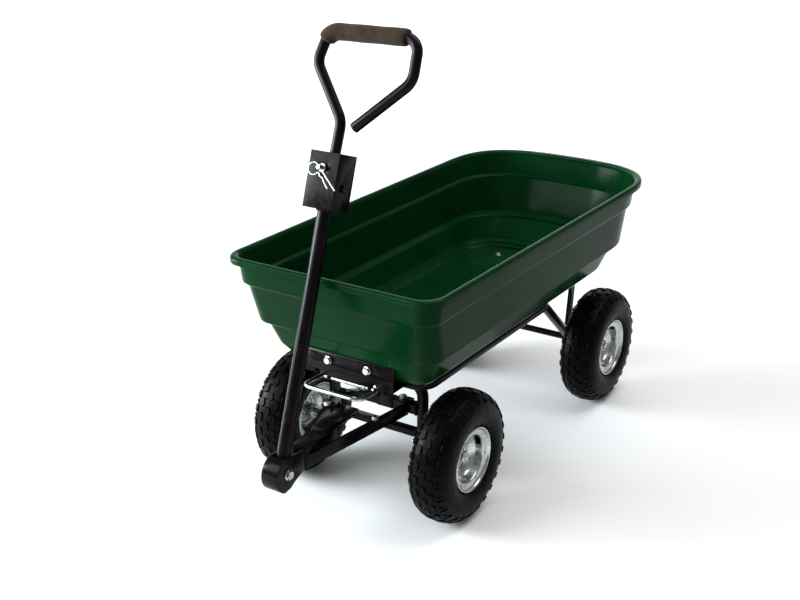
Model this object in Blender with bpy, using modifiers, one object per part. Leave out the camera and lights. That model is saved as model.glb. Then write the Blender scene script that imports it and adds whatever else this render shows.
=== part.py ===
"""Garden dump cart: a moulded tub on a tube chassis with four pneumatic wheels, a steered front
axle and a pull handle with a folding D grip. Metres, +Z up, the handle end towards -Y."""

import math

import bmesh
import bpy
from mathutils import Matrix, Vector

# Driving dimensions, in metres.
HALF_LENGTH = 0.580
TUB_HALF_WIDTH = 0.230
WHEELBASE = 0.624
HALF_TRACK = 0.180
WHEEL_R = 0.130
TYRE_HALF_WIDTH = 0.0425
RIM_Z = 0.500
FLOOR_Z = 0.2935
SHEET = 0.003
GAP = 0.0003
TUBE_R = 0.011

# Places worked out from them.
NOSE_R = 0.0335
FRONT_Y = -0.243
REAR_Y = FRONT_Y + WHEELBASE
PIVOT = Vector((0, -HALF_LENGTH + NOSE_R, 0.181))
LEAN = math.radians(18.4)
STEM_DIR = Vector((0, math.sin(LEAN), math.cos(LEAN)))
STEM_OUT = Vector((0, math.cos(LEAN), -math.sin(LEAN)))
HINGE = Vector((0, REAR_Y + 0.017, 0.270))
BAIL_AXIS = Vector((0, FRONT_Y - 0.092, 0.2695))
FOLD_S = 0.505
PIN_S = 0.535

# Radii of the running parts.
AXLE_R = 0.0075
PIVOT_BOLT_R = 0.0050
KINGPIN_R = 0.0060
HINGE_ROD_R = 0.0050
WIRE_R = 0.0035
GRIP_TUBE_R = 0.0090
STEM_R = 0.0125

for old in list(bpy.data.objects):
    bpy.data.objects.remove(old)

PARTS = bpy.data.collections.new("garden_cart")
HELPERS = bpy.data.collections.new("cutters")
for made in (PARTS, HELPERS):
    bpy.context.scene.collection.children.link(made)


def material(name, color, roughness, metallic=0.0):
    made = bpy.data.materials.new(name)
    made.use_nodes = True
    shader = made.node_tree.nodes["Principled BSDF"]
    shader.inputs["Base Color"].default_value = (*color, 1)
    shader.inputs["Roughness"].default_value = roughness
    shader.inputs["Metallic"].default_value = metallic
    return made


GREEN = material("green_plastic", (0.010, 0.095, 0.035), 0.25)
BLACK = material("black_paint", (0.012, 0.012, 0.013), 0.30)
ZINC = material("zinc", (0.62, 0.63, 0.64), 0.32, 1.0)
RUBBER = material("tyre_rubber", (0.018, 0.018, 0.018), 0.60)
FOAM = material("grip_foam", (0.035, 0.024, 0.020), 0.85)


def place(name, mesh, finish=None, at=None):
    """An object in the parts collection, or a hidden helper when it has no finish."""
    obj = bpy.data.objects.new(name, mesh)
    (PARTS if finish else HELPERS).objects.link(obj)
    if finish:
        mesh.materials.clear()
        mesh.materials.append(finish)
    else:
        obj.hide_render = True
        obj.display_type = "WIRE"
    if at is not None:
        obj.matrix_world = at
    return obj


def mesh_of(build):
    """A mesh from a function that fills a bmesh."""
    bm = bmesh.new()
    build(bm)
    mesh = bpy.data.meshes.new("piece")
    bm.to_mesh(mesh)
    bm.free()
    return mesh


def boolean(obj, other, operation):
    made = obj.modifiers.new(operation.lower(), "BOOLEAN")
    made.operation = operation
    made.object = other
    return obj


def joined(obj, *others):
    for other in others:
        boolean(obj, other, "UNION")
    return obj


def cut(obj, *others):
    for other in others:
        boolean(obj, other, "DIFFERENCE")
    return obj


def smooth(obj, angle=40):
    obj.data.shade_smooth()
    obj.data.set_sharp_from_angle(angle=math.radians(angle))
    return obj


def block(name, low, high, finish=None, at=None):
    """A box between two corners."""
    low, high = Vector(low), Vector(high)

    def build(bm):
        bmesh.ops.create_cube(bm, size=1)
        bmesh.ops.scale(bm, vec=high - low, verts=bm.verts)
        bmesh.ops.translate(bm, vec=(low + high) / 2, verts=bm.verts)

    return place(name, mesh_of(build), finish, at)


def rod(name, start, end, radius, finish=None, segments=16, at=None):
    """A cylinder between two points."""
    start, end = Vector(start), Vector(end)
    along = end - start

    def build(bm):
        bmesh.ops.create_cone(
            bm, cap_ends=True, segments=segments, radius1=radius, radius2=radius, depth=along.length
        )
        turn = along.to_track_quat("Z", "Y").to_matrix().to_4x4()
        bmesh.ops.transform(bm, matrix=Matrix.Translation((start + end) / 2) @ turn, verts=bm.verts)

    return smooth(place(name, mesh_of(build), finish, at))


def prism(name, outline, x_low, x_high, finish=None, at=None):
    """A plate with a (y, z) outline, from x_low to x_high."""

    def build(bm):
        verts = [bm.verts.new((x_low, y, z)) for y, z in outline]
        face = bm.faces.new(verts)
        made = bmesh.ops.extrude_face_region(bm, geom=[face])["geom"]
        moved = [item for item in made if isinstance(item, bmesh.types.BMVert)]
        bmesh.ops.translate(bm, vec=(x_high - x_low, 0, 0), verts=moved)
        bmesh.ops.recalc_face_normals(bm, faces=bm.faces)

    return place(name, mesh_of(build), finish, at)


def turned(name, profile, finish, centre, steps):
    """A ring turned about X: a closed profile of (x, radius) points, listed clockwise."""
    mesh = bpy.data.meshes.new("profile")
    points = [(x, 0, radius) for x, radius in profile]
    count = len(points)
    mesh.from_pydata(points, [(i, (i + 1) % count) for i in range(count)], [])
    obj = place(name, mesh, finish, Matrix.Translation(centre))
    screw = obj.modifiers.new("turn", "SCREW")
    screw.axis = "X"
    screw.steps = screw.render_steps = steps
    screw.use_normal_flip = True
    screw.use_smooth_shade = True
    screw.merge_threshold = 1e-5
    return obj


def arc(centre, radius, start_deg, end_deg, steps):
    """Points on an arc in the (y, z) plane, degrees from +Y."""
    points = []
    for i in range(steps + 1):
        angle = math.radians(start_deg + (end_deg - start_deg) * i / steps)
        points.append((centre[0] + radius * math.cos(angle), centre[1] + radius * math.sin(angle)))
    return points


def rounded_path(corners, radii, steps=5):
    """A path of straight runs whose inner corners are arcs of the given radii."""
    corners = [Vector(corner) for corner in corners]
    points = [corners[0]]
    for before, corner, after, radius in zip(corners, corners[1:], corners[2:], radii):
        into, out = (corner - before).normalized(), (after - corner).normalized()
        turn = into.angle(out)
        reach = radius * math.tan(turn / 2)
        start = corner - into * reach
        side = (out - into * into.dot(out)).normalized()
        centre = start + side * radius
        for i in range(steps + 1):
            angle = turn * i / steps
            points.append(centre - side * radius * math.cos(angle) + into * radius * math.sin(angle))
    return points + [corners[-1]]


def bar(name, points, radius, finish=None, at=None, resolution=2, closed=False):
    """A round bar along a path, as a mesh that Booleans can take."""
    curve = bpy.data.curves.new("path", "CURVE")
    curve.dimensions = "3D"
    curve.bevel_depth = radius
    curve.bevel_resolution = resolution
    curve.use_fill_caps = True
    spline = curve.splines.new("POLY")
    spline.points.add(len(points) - 1)
    spline.use_cyclic_u = closed
    for item, point in zip(spline.points, points):
        item.co = (*point, 1)
    guide = bpy.data.objects.new("guide", curve)
    HELPERS.objects.link(guide)
    graph = bpy.context.evaluated_depsgraph_get()
    mesh = bpy.data.meshes.new_from_object(guide.evaluated_get(graph))
    bpy.data.objects.remove(guide)
    bm = bmesh.new()
    bm.from_mesh(mesh)
    bmesh.ops.remove_doubles(bm, verts=bm.verts, dist=1e-6)
    bmesh.ops.recalc_face_normals(bm, faces=bm.faces)
    bm.to_mesh(mesh)
    bm.free()
    return smooth(place(name, mesh, finish, at))


def hex_bolt(name, seat, direction, shank_r, head_r, head, shank, finish=ZINC):
    """A hex head whose underside is at seat, and its shank along direction."""
    seat, direction = Vector(seat), Vector(direction).normalized()
    bolt = rod(name, seat, seat - direction * head, head_r, finish, segments=6)
    shaft = rod(name + "_shank", seat - direction * head / 2, seat + direction * shank, shank_r, segments=12)
    return joined(bolt, shaft)


def nut(name, start, direction, bore_r, across_r, height, finish=ZINC):
    start, direction = Vector(start), Vector(direction).normalized()
    made = rod(name, start, start + direction * height, across_r, finish, segments=6)
    bore = rod(name + "_bore", start - direction * height, start + direction * 2 * height, bore_r + GAP, segments=12)
    return cut(made, bore)


# ---------------------------------------------------------------- wheels

TYRE_OUTER = (
    (-0.0265, 0.0515), (-0.0283, 0.0635), (-0.0375, 0.0700), (-TYRE_HALF_WIDTH, 0.0870),
    (-0.0385, 0.1090), (-0.0245, 0.1258), (0.0, WHEEL_R),
)
TYRE_INNER = (
    (-0.0225, 0.0515), (-0.0235, 0.0650), (-0.0380, 0.0860), (-0.0325, 0.1120), (-0.0140, 0.1245),
)
HUB_R = 0.0150
HUB_IN, HUB_OUT = 0.0290, 0.0105


def mirrored(half):
    """A profile and its mirror image across x = 0, without repeating the middle point."""
    return list(half) + [(-x, radius) for x, radius in reversed(half[:-1])]


def both_sides(half):
    """A profile and its mirror image across x = 0."""
    return list(half) + [(-x, radius) for x, radius in reversed(half)]


def inner_tube(name, centre):
    """A thin-walled ring, left open by a slit against the rim."""
    profile = []
    for section, order in ((0.0325, 1), (0.0300, -1)):
        for step in range(6)[::order]:
            angle = math.radians(250 - 64 * step)
            profile.append((section * math.cos(angle), 0.0880 + section * math.sin(angle)))
    return turned(name, profile, RUBBER, centre, 20)


def rim_half(name, centre, side):
    """One pressed dish: a web against its twin, the bead seat and the flange."""
    outline = [
        (0.0035, HUB_R + GAP), (0.0035, 0.0330), (0.0100, 0.0435), (0.0290, 0.0475), (0.0340, 0.0630),
        (0.0310, 0.0630), (0.0275, 0.0505), (0.0090, 0.0465), (0.0010, 0.0355), (0.0010, HUB_R + GAP),
    ]
    profile = [(side * x, radius) for x, radius in outline]
    return turned(name, profile if side < 0 else profile[::-1], ZINC, centre, 20)


def wheel(prefix, side, y):
    centre = Vector((side * HALF_TRACK, y, WHEEL_R))
    x_out = Vector((side, 0, 0))
    turned(prefix + "_tyre", mirrored(TYRE_OUTER) + both_sides(TYRE_INNER)[::-1], RUBBER, centre, 28)
    inner_tube(prefix + "_inner_tube", centre)
    rim_half(prefix + "_rim_outer", centre, side)
    rim_half(prefix + "_rim_inner", centre, -side)
    hub = rod(prefix + "_hub", centre - x_out * HUB_IN, centre + x_out * HUB_OUT, HUB_R, ZINC, 20)
    cut(hub, rod(prefix + "_hub_bore", centre - x_out * 0.05, centre + x_out * 0.05, AXLE_R + GAP))
    face = centre + x_out * (HUB_OUT + 0.0025)
    nut(prefix + "_axle_nut", face, x_out, AXLE_R, 0.0125, 0.0065)


AXLE_END = HALF_TRACK + HUB_OUT + 0.0112


# ---------------------------------------------------------------- chassis

RAIL_X = 0.140
RAIL_Z = 0.2808
STRUT_X = 0.112
PLATE_X = (0.100, 0.106)
HEAD_LOW, HEAD_HIGH = 0.2716, 0.2912


def chassis():
    half = [
        (STRUT_X, REAR_Y - 0.006, 0.136), (RAIL_X, FRONT_Y + 0.425, RAIL_Z), (RAIL_X, FRONT_Y - 0.052, RAIL_Z),
    ]
    corners = half + [(-x, y, z) for x, y, z in reversed(half)]
    rails = [bar("rails", rounded_path(corners, (0.045, 0.030, 0.030, 0.045), 4), 0.0105)]
    for side, word in ((1, "right"), (-1, "left")):
        plate = [(REAR_Y - 0.013, 0.119), (REAR_Y + 0.013, 0.119), (HINGE.y + 0.0105, HINGE.z - 0.02)]
        plate += arc((HINGE.y, HINGE.z), 0.0105, 0, 180, 6)
        rails.append(prism("hinge_plate_" + word, plate, *sorted(side * x for x in PLATE_X)))
        leg = block(
            "catch_leg_" + word, (side * 0.054 - 0.014, FRONT_Y - 0.0515, 0.2175),
            (side * 0.054 + 0.014, FRONT_Y - 0.0485, HEAD_LOW + 0.004),
        )
        foot = block(
            "catch_foot_" + word, (side * 0.042 - 0.009, FRONT_Y - 0.0515, 0.2175),
            (side * 0.042 + 0.009, FRONT_Y - 0.0365, 0.2205),
        )
        rails += [leg, foot]
    frame = block(
        "chassis_frame", (-RAIL_X, FRONT_Y - 0.022, HEAD_LOW), (RAIL_X, FRONT_Y + 0.022, HEAD_HIGH), BLACK
    )
    catch = block("catch_plate", (-0.075, FRONT_Y - 0.080, HEAD_LOW), (0.075, FRONT_Y - 0.010, 0.2756))
    rear = block(
        "rear_cross", (-0.104, FRONT_Y + 0.390, RAIL_Z - 0.009), (0.104, FRONT_Y + 0.415, RAIL_Z + 0.009)
    )
    rear_wide = block(
        "rear_wide", (-RAIL_X, FRONT_Y + 0.392, RAIL_Z - 0.008), (RAIL_X, FRONT_Y + 0.413, RAIL_Z + 0.008)
    )
    joined(frame, catch, rear, rear_wide, *rails)
    bores = [
        rod("kingpin_bore", (0, FRONT_Y, 0.25), (0, FRONT_Y, 0.31), KINGPIN_R + GAP, segments=12),
        rod("kingpin_sink", (0, FRONT_Y, HEAD_HIGH - 0.0075), (0, FRONT_Y, 0.31), 0.0125, segments=16),
        rod("axle_bore", (-0.2, REAR_Y, WHEEL_R), (0.2, REAR_Y, WHEEL_R), AXLE_R + GAP),
        rod("hinge_bore", (-0.2, HINGE.y, HINGE.z), (0.2, HINGE.y, HINGE.z), HINGE_ROD_R + GAP),
    ]
    cut(frame, *bores)
    rod("rear_axle", (-AXLE_END, REAR_Y, WHEEL_R), (AXLE_END, REAR_Y, WHEEL_R), AXLE_R, ZINC)
    rod("hinge_rod", (-0.112, HINGE.y, HINGE.z), (0.112, HINGE.y, HINGE.z), HINGE_ROD_R, ZINC)


# ---------------------------------------------------------------- steered front axle

POST_X = 0.1025
HOOP_TOP = 0.2555
BEAM_HALF = 0.010
UPPER_BEAM = (0.193, 0.214)
LOWER_BEAM = (0.1455, 0.1585)


def axle_hoop():
    corners = [
        (-POST_X, FRONT_Y, 0.117), (-POST_X, FRONT_Y, HOOP_TOP),
        (POST_X, FRONT_Y, HOOP_TOP), (POST_X, FRONT_Y, 0.117),
    ]
    hoop = bar("axle_hoop", rounded_path(corners, (0.026, 0.026), 4), TUBE_R, BLACK)
    beams = [
        block(f"beam_{i}", (-POST_X, FRONT_Y - BEAM_HALF, low), (POST_X, FRONT_Y + BEAM_HALF, high))
        for i, (low, high) in enumerate((UPPER_BEAM, LOWER_BEAM))
    ]
    pad = block("turntable", (-0.040, FRONT_Y - 0.028, 0.2625), (0.040, FRONT_Y + 0.028, 0.2680))
    bores = [
        rod("hoop_kingpin", (0, FRONT_Y, 0.23), (0, FRONT_Y, 0.29), KINGPIN_R + GAP, segments=12),
        rod("hoop_axle", (-0.2, FRONT_Y, WHEEL_R), (0.2, FRONT_Y, WHEEL_R), AXLE_R + GAP),
    ]
    for side in (1, -1):
        at = (side * 0.060, FRONT_Y - 0.001)
        bores.append(rod(f"tongue_hole_{side}", (*at, 0.18), (*at, 0.23), 0.0045, segments=10))
    cut(joined(hoop, *beams, pad), *bores)
    for side, word in ((1, "right"), (-1, "left")):
        inner = side * (POST_X - TUBE_R - 0.004)
        stub = rod(
            "stub_axle_" + word, (inner - side * 0.002, FRONT_Y, WHEEL_R), (side * AXLE_END, FRONT_Y, WHEEL_R),
            AXLE_R, ZINC,
        )
        collar = rod(
            "stub_collar_" + word, (inner - side * 0.004, FRONT_Y, WHEEL_R), (inner, FRONT_Y, WHEEL_R), 0.0090
        )
        joined(stub, collar)
        hex_bolt(
            "tongue_bolt_" + word, (side * 0.060, FRONT_Y - 0.001, UPPER_BEAM[1] + 0.0036), (0, 0, -1),
            0.0040, 0.0075, 0.0055, 0.030,
        )
    washer = rod("thrust_washer", (0, FRONT_Y, 0.2683), (0, FRONT_Y, 0.2713), 0.022, ZINC, 20)
    cut(washer, rod("washer_bore", (0, FRONT_Y, 0.26), (0, FRONT_Y, 0.28), KINGPIN_R + GAP, segments=12))
    hex_bolt(
        "kingpin_bolt", (0, FRONT_Y, HEAD_HIGH - 0.0072), (0, 0, -1), KINGPIN_R, 0.0105, 0.0065, 0.0560
    )
    nut("kingpin_nut", (0, FRONT_Y, 0.2345), (0, 0, 1), KINGPIN_R, 0.0105, 0.0095)


def tongue():
    """Two splayed bars from the handle's knuckle to the upper beam, and the channel between them."""
    knuckle = rod("tongue", PIVOT + Vector((-0.0125, 0, 0)), PIVOT + Vector((0.0125, 0, 0)), 0.0140, BLACK, 20)
    channel_y = (FRONT_Y - 0.253, FRONT_Y - 0.157)
    pieces = [
        block("neck", (-0.0125, PIVOT.y + 0.005, 0.171), (0.0125, channel_y[0] + 0.004, 0.193)),
        block("channel", (-0.0165, channel_y[0], 0.171), (0.0165, channel_y[1], 0.2095)),
        block("strap", (-0.0165, FRONT_Y - 0.190, 0.2090), (0.0165, FRONT_Y - 0.088, 0.2190)),
    ]
    hollows = [
        block("channel_hollow", (-0.0135, channel_y[0] + 0.004, 0.160), (0.0135, channel_y[1] + 0.01, 0.2060)),
        block("strap_hollow", (-0.0135, FRONT_Y - 0.186, 0.2050), (0.0135, FRONT_Y - 0.080, 0.2160)),
        rod("knuckle_bore", PIVOT + Vector((-0.03, 0, 0)), PIVOT + Vector((0.03, 0, 0)), PIVOT_BOLT_R + GAP),
    ]
    for side in (1, -1):
        near = Vector((side * 0.0150, channel_y[0] + 0.004, 0))
        far = Vector((side * 0.0760, FRONT_Y - 0.0135, 0))
        mesh = mesh_of(lambda bm, near=near, far=far: skewed_bar(bm, near, far))
        pieces.append(place(f"arm_{side}", mesh))
        at = (side * 0.060, FRONT_Y - 0.001)
        pieces.append(
            block(
                f"tab_{side}", (min(side * 0.046, side * 0.078), FRONT_Y - 0.0180, UPPER_BEAM[1] + GAP),
                (max(side * 0.046, side * 0.078), FRONT_Y + 0.0100, UPPER_BEAM[1] + 0.0033),
            )
        )
        hollows.append(rod(f"tab_hole_{side}", (*at, 0.20), (*at, 0.23), 0.0045, segments=10))
    cut(joined(knuckle, *pieces), *hollows)


def skewed_bar(bm, near, far):
    """A flat bar on edge that rises from the channel to the upper beam."""
    ends = ((near, 0.1690, 0.1940), (far, 0.1930, UPPER_BEAM[1] + 0.0033))
    across = (far - near).normalized().cross(Vector((0, 0, 1))) * 0.003
    rings = []
    for point, low, high in ends:
        rings.append(
            [
                bm.verts.new(point + across + Vector((0, 0, low))),
                bm.verts.new(point - across + Vector((0, 0, low))),
                bm.verts.new(point - across + Vector((0, 0, high))),
                bm.verts.new(point + across + Vector((0, 0, high))),
            ]
        )
    bm.faces.new(rings[0])
    bm.faces.new(rings[1][::-1])
    for i in range(4):
        j = (i + 1) % 4
        bm.faces.new((rings[0][i], rings[1][i], rings[1][j], rings[0][j]))
    bmesh.ops.recalc_face_normals(bm, faces=bm.faces)


# ---------------------------------------------------------------- handle

CHEEK_IN, CHEEK_OUT = 0.0130, 0.0170
BOX_HALF_X = 0.0300
BOX_HALF_N = 0.0260
BOX_S = (0.465, 0.5625)
STEM_FRAME = Matrix.Translation(PIVOT) @ Matrix.Rotation(-LEAN, 4, "X")


def grip_path():
    """The D grip's centre line in the handle's frame, x across and z along the stem."""
    corners = [
        (0, 0, 0.494), (0.0030, 0, 0.618), (-0.0665, 0, 0.712), (-0.0520, 0, 0.7655), (0.1290, 0, 0.7685),
        (0.1300, 0, 0.697), (0.031, 0, 0.609),
    ]
    return rounded_path(corners, (0.040, 0.030, 0.030, 0.026, 0.035), 6)


def handle():
    y, z = PIVOT.y, PIVOT.z
    outline = [(y + 0.0465, z + 0.0275), (y - 0.0050, z + 0.0325)]
    outline += arc((y, z), NOSE_R, 108, 252, 12)
    outline += [(y + 0.0060, z - 0.0290), (y + 0.0200, z - 0.0205), (y + 0.0465, z - 0.0115)]
    yoke = prism("handle_yoke", outline, -CHEEK_OUT, CHEEK_OUT, BLACK)
    hollow = arc((y, z), NOSE_R - 0.0035, 108, 232, 10)
    hollow += [(y - 0.030, z - 0.060), (y + 0.07, z - 0.060), (y + 0.07, z + 0.060), (y - 0.006, z + 0.060)]
    bolt_bore = rod("yoke_bore", (-0.03, y, z), (0.03, y, z), PIVOT_BOLT_R + GAP)
    cut(yoke, prism("yoke_hollow", hollow, -CHEEK_IN, CHEEK_IN), bolt_bore)
    hex_bolt("pivot_bolt", (CHEEK_OUT + GAP, y, z), (-1, 0, 0), PIVOT_BOLT_R, 0.0085, 0.0055, 0.0420)
    nut("pivot_nut", (-CHEEK_OUT - GAP, y, z), (-1, 0, 0), PIVOT_BOLT_R, 0.0085, 0.0060)
    rod("handle_stem", (0, 0, 0.0190), (0, 0, 0.4850), STEM_R, BLACK, 20, STEM_FRAME)
    box = block(
        "hitch_box", (-BOX_HALF_X, -BOX_HALF_N, BOX_S[0]), (BOX_HALF_X, BOX_HALF_N, BOX_S[1]), BLACK, STEM_FRAME
    )
    inside = block(
        "box_inside", (SHEET - BOX_HALF_X, SHEET - BOX_HALF_N, BOX_S[0] + SHEET),
        (BOX_HALF_X - SHEET, 0.05, 0.60), at=STEM_FRAME,
    )
    holes = [
        rod("box_stem", (0, 0, 0.45), (0, 0, 0.50), STEM_R + GAP, segments=20, at=STEM_FRAME),
        rod("box_fold", (-0.05, 0, FOLD_S), (0.05, 0, FOLD_S), PIVOT_BOLT_R, segments=12, at=STEM_FRAME),
        rod("box_pin", (0, -0.05, PIN_S), (0, -0.02, PIN_S), 0.0052, segments=12, at=STEM_FRAME),
    ]
    cut(box, inside, *holes)


def folding_grip():
    path = grip_path()
    tube = bar("d_handle", path, GRIP_TUBE_R, BLACK, STEM_FRAME)
    cut(
        tube,
        rod("grip_fold", (-0.05, 0, FOLD_S), (0.05, 0, FOLD_S), 0.0045, segments=12, at=STEM_FRAME),
        rod("grip_pin", (0, -0.05, PIN_S), (0, -0.0035, PIN_S), 0.0056, segments=12, at=STEM_FRAME),
    )
    fold = rod(
        "fold_bolt", (-BOX_HALF_X - 0.006, 0, FOLD_S), (BOX_HALF_X + 0.0003, 0, FOLD_S), 0.0040, ZINC, 12, STEM_FRAME
    )
    head = rod(
        "fold_head", (BOX_HALF_X + GAP, 0, FOLD_S), (BOX_HALF_X + 0.0050, 0, FOLD_S), 0.0075, segments=6, at=STEM_FRAME
    )
    neck = rod(
        "fold_neck", (BOX_HALF_X - 0.002, 0, FOLD_S), (BOX_HALF_X + 0.003, 0, FOLD_S), 0.0038, segments=12, at=STEM_FRAME
    )
    joined(fold, head, neck)
    lock = rod(
        "fold_nut", (-BOX_HALF_X - 0.0055, 0, FOLD_S), (-BOX_HALF_X - GAP, 0, FOLD_S), 0.0075, ZINC, 6, STEM_FRAME
    )
    cut(lock, rod("fold_nut_bore", (-0.05, 0, FOLD_S), (0, 0, FOLD_S), 0.0043, segments=12, at=STEM_FRAME))
    grip_run = [point for point in path if point.z > 0.7475 and point.x < 0.11]
    foam = bar("grip", grip_run, 0.0150, FOAM, STEM_FRAME)
    cut(foam, bar("grip_bore", path, GRIP_TUBE_R + GAP, at=STEM_FRAME))


def hitch_pin():
    pin = rod("hitch_pin", (0, -GRIP_TUBE_R - 0.0004, PIN_S), (0, -0.0420, PIN_S), 0.0045, ZINC, 12, STEM_FRAME)
    collar = rod("pin_collar", (0, -0.0266, PIN_S), (0, -0.0296, PIN_S), 0.0075, segments=12, at=STEM_FRAME)
    slope = Vector((0.74, 0, -0.67)).normalized()
    aside = Vector((slope.z, 0, -slope.x))
    eye = Vector((0, -0.0365, PIN_S))
    cut(joined(pin, collar), rod("pin_eye", eye - slope * 0.01, eye + slope * 0.01, 0.0018, segments=10, at=STEM_FRAME))
    ring = []
    for i in range(13):
        angle = math.radians(280 * i / 12)
        ring.append((-0.0060 - 0.0105 * math.sin(angle), 0.0105 - 0.0105 * math.cos(angle)))
    wave = [(0.0075, 0.0070), (0.0130, 0.0080), (0.0220, 0.0066), (0.0400, 0.0095)]
    clip = [(0.0520, 0)] + ring + wave
    bar("r_clip", [eye + slope * along + aside * out for along, out in clip], 0.0012, ZINC, STEM_FRAME, resolution=1)


# ---------------------------------------------------------------- tub

FRONT_CORNER_R = 0.042
REAR_ARC_START = 0.628 + FRONT_Y
REAR_POWER = 2.9
# Each level of the wall: height, and how far in from the rim it is at the sides, front and rear.
LEVELS = (
    (RIM_Z - 0.0130, SHEET, SHEET, SHEET),
    (RIM_Z - 0.0045, SHEET, SHEET, SHEET),
    (RIM_Z - SHEET, 0.0055, 0.0055, 0.0055),
    (RIM_Z - SHEET, 0.0095, 0.0095, 0.0110),
    (0.4930, 0.0120, 0.0120, 0.0160),
    (0.4470, 0.0160, 0.0170, 0.0240),
    (0.4420, 0.0230, 0.0260, 0.0340),
    (0.3620, 0.0280, 0.0510, 0.0570),
    (0.3560, 0.0420, 0.0620, 0.0840),
    (0.3130, 0.0560, 0.0790, 0.1200),
    (0.3050, 0.0640, 0.0840, 0.1400),
    (0.2980, 0.0720, 0.0890, 0.1520),
    (FLOOR_Z, 0.0800, 0.0970, 0.1640),
)
TUB_FRONT_Y = FRONT_Y - 0.1735


def tub_outline(z, side_in, front_in, rear_in):
    """A loop around the tub: straight front and sides, round front corners and an arched rear."""
    half = TUB_HALF_WIDTH - side_in
    front = TUB_FRONT_Y + front_in
    rear = HALF_LENGTH - rear_in
    corner = max(FRONT_CORNER_R - 0.25 * side_in, 0.02)
    points = [(0.0, front), ((half - corner) / 2, front)]
    for i in range(6):
        angle = math.radians(-90 + 18 * i)
        points.append((half - corner + corner * math.cos(angle), front + corner + corner * math.sin(angle)))
    start = REAR_ARC_START - 0.35 * rear_in
    points += [(half, (front + corner) * (1 - t) + start * t) for t in (0.25, 0.5, 0.75)]
    for i in range(9):
        angle = math.radians(90 * i / 9)
        x = half * math.cos(angle) ** (2 / REAR_POWER)
        points.append((x, start + (rear - start) * math.sin(angle) ** (2 / REAR_POWER)))
    points.append((0.0, rear))
    other_side = [(-x, y) for x, y in reversed(points[1:-1])]
    return [Vector((x, y, z)) for x, y in points + other_side]


def tub_skin(bm):
    loops = [[bm.verts.new(point) for point in tub_outline(*level)] for level in LEVELS]
    for upper, lower in zip(loops, loops[1:]):
        for i in range(len(upper)):
            j = (i + 1) % len(upper)
            bm.faces.new((upper[i], lower[i], lower[j], upper[j]))
    bm.faces.new(loops[-1][::-1])


BOLT_X = 0.080
FLOOR_BOLT_Y = REAR_Y - 0.003
CROSSBAR_BOLT_X = {1: 0.048, -1: -0.039}
CROSSBAR_BOLT_Z = 0.3115


def walled(mesh):
    """The skin given its thickness, with the floor's inner face exactly level."""
    guide = place("tub_guide", mesh)
    wall = guide.modifiers.new("wall", "SOLIDIFY")
    wall.thickness = SHEET
    wall.offset = -1
    wall.use_even_offset = True
    graph = bpy.context.evaluated_depsgraph_get()
    made = bpy.data.meshes.new_from_object(guide.evaluated_get(graph))
    bpy.data.objects.remove(guide)
    for vertex in made.vertices:
        if abs(vertex.co.z - FLOOR_Z - SHEET) < 0.0001:
            vertex.co.z = FLOOR_Z + SHEET
    return made


def tub():
    shell = place("tub", walled(mesh_of(tub_skin)), GREEN)
    for side in (1, -1):
        x = side * BOLT_X
        cut(shell, rod(f"floor_hole_{side}", (x, FLOOR_BOLT_Y, 0.27), (x, FLOOR_BOLT_Y, 0.31), 0.0035, segments=10))
        x = CROSSBAR_BOLT_X[side]
        start, end = FRONT_Y - 0.12, FRONT_Y - 0.06
        hole = rod(f"wall_hole_{side}", (x, start, CROSSBAR_BOLT_Z), (x, end, CROSSBAR_BOLT_Z), 0.0045, segments=10)
        cut(shell, hole)
    smooth(shell, 50)


def hinge_bracket():
    """The channel under the tub's floor that turns on the hinge rod."""
    top = FLOOR_Z - GAP
    plate = block("hinge_bracket", (-0.0960, REAR_Y - 0.032, top - SHEET), (0.0960, HINGE.y + 0.010, top), BLACK)
    cutters = [rod("bracket_bore", (-0.2, HINGE.y, HINGE.z), (0.2, HINGE.y, HINGE.z), HINGE_ROD_R + GAP)]
    for side in (1, -1):
        lug = [(HINGE.y - 0.014, top - 0.001), (HINGE.y - 0.009, HINGE.z - 0.006)]
        lug += [(HINGE.y + 0.009, HINGE.z - 0.006), (HINGE.y + 0.009, top - 0.001)]
        joined(plate, prism(f"lug_{side}", lug, *sorted((side * 0.0960, side * 0.0920))))
        x = side * BOLT_X
        cutters.append(rod(f"bracket_hole_{side}", (x, FLOOR_BOLT_Y, 0.27), (x, FLOOR_BOLT_Y, 0.31), 0.0035, segments=10))
    cut(plate, *cutters)
    for side, word in ((1, "right"), (-1, "left")):
        seat = (side * BOLT_X, FLOOR_BOLT_Y, FLOOR_Z + SHEET + GAP)
        hex_bolt("floor_bolt_" + word, seat, (0, 0, -1), 0.0031, 0.0075, 0.0045, 0.0120)


# ---------------------------------------------------------------- release latch

CROSSBAR_HALF = 0.106
CROSSBAR_FRONT = FRONT_Y - 0.1070


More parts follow.
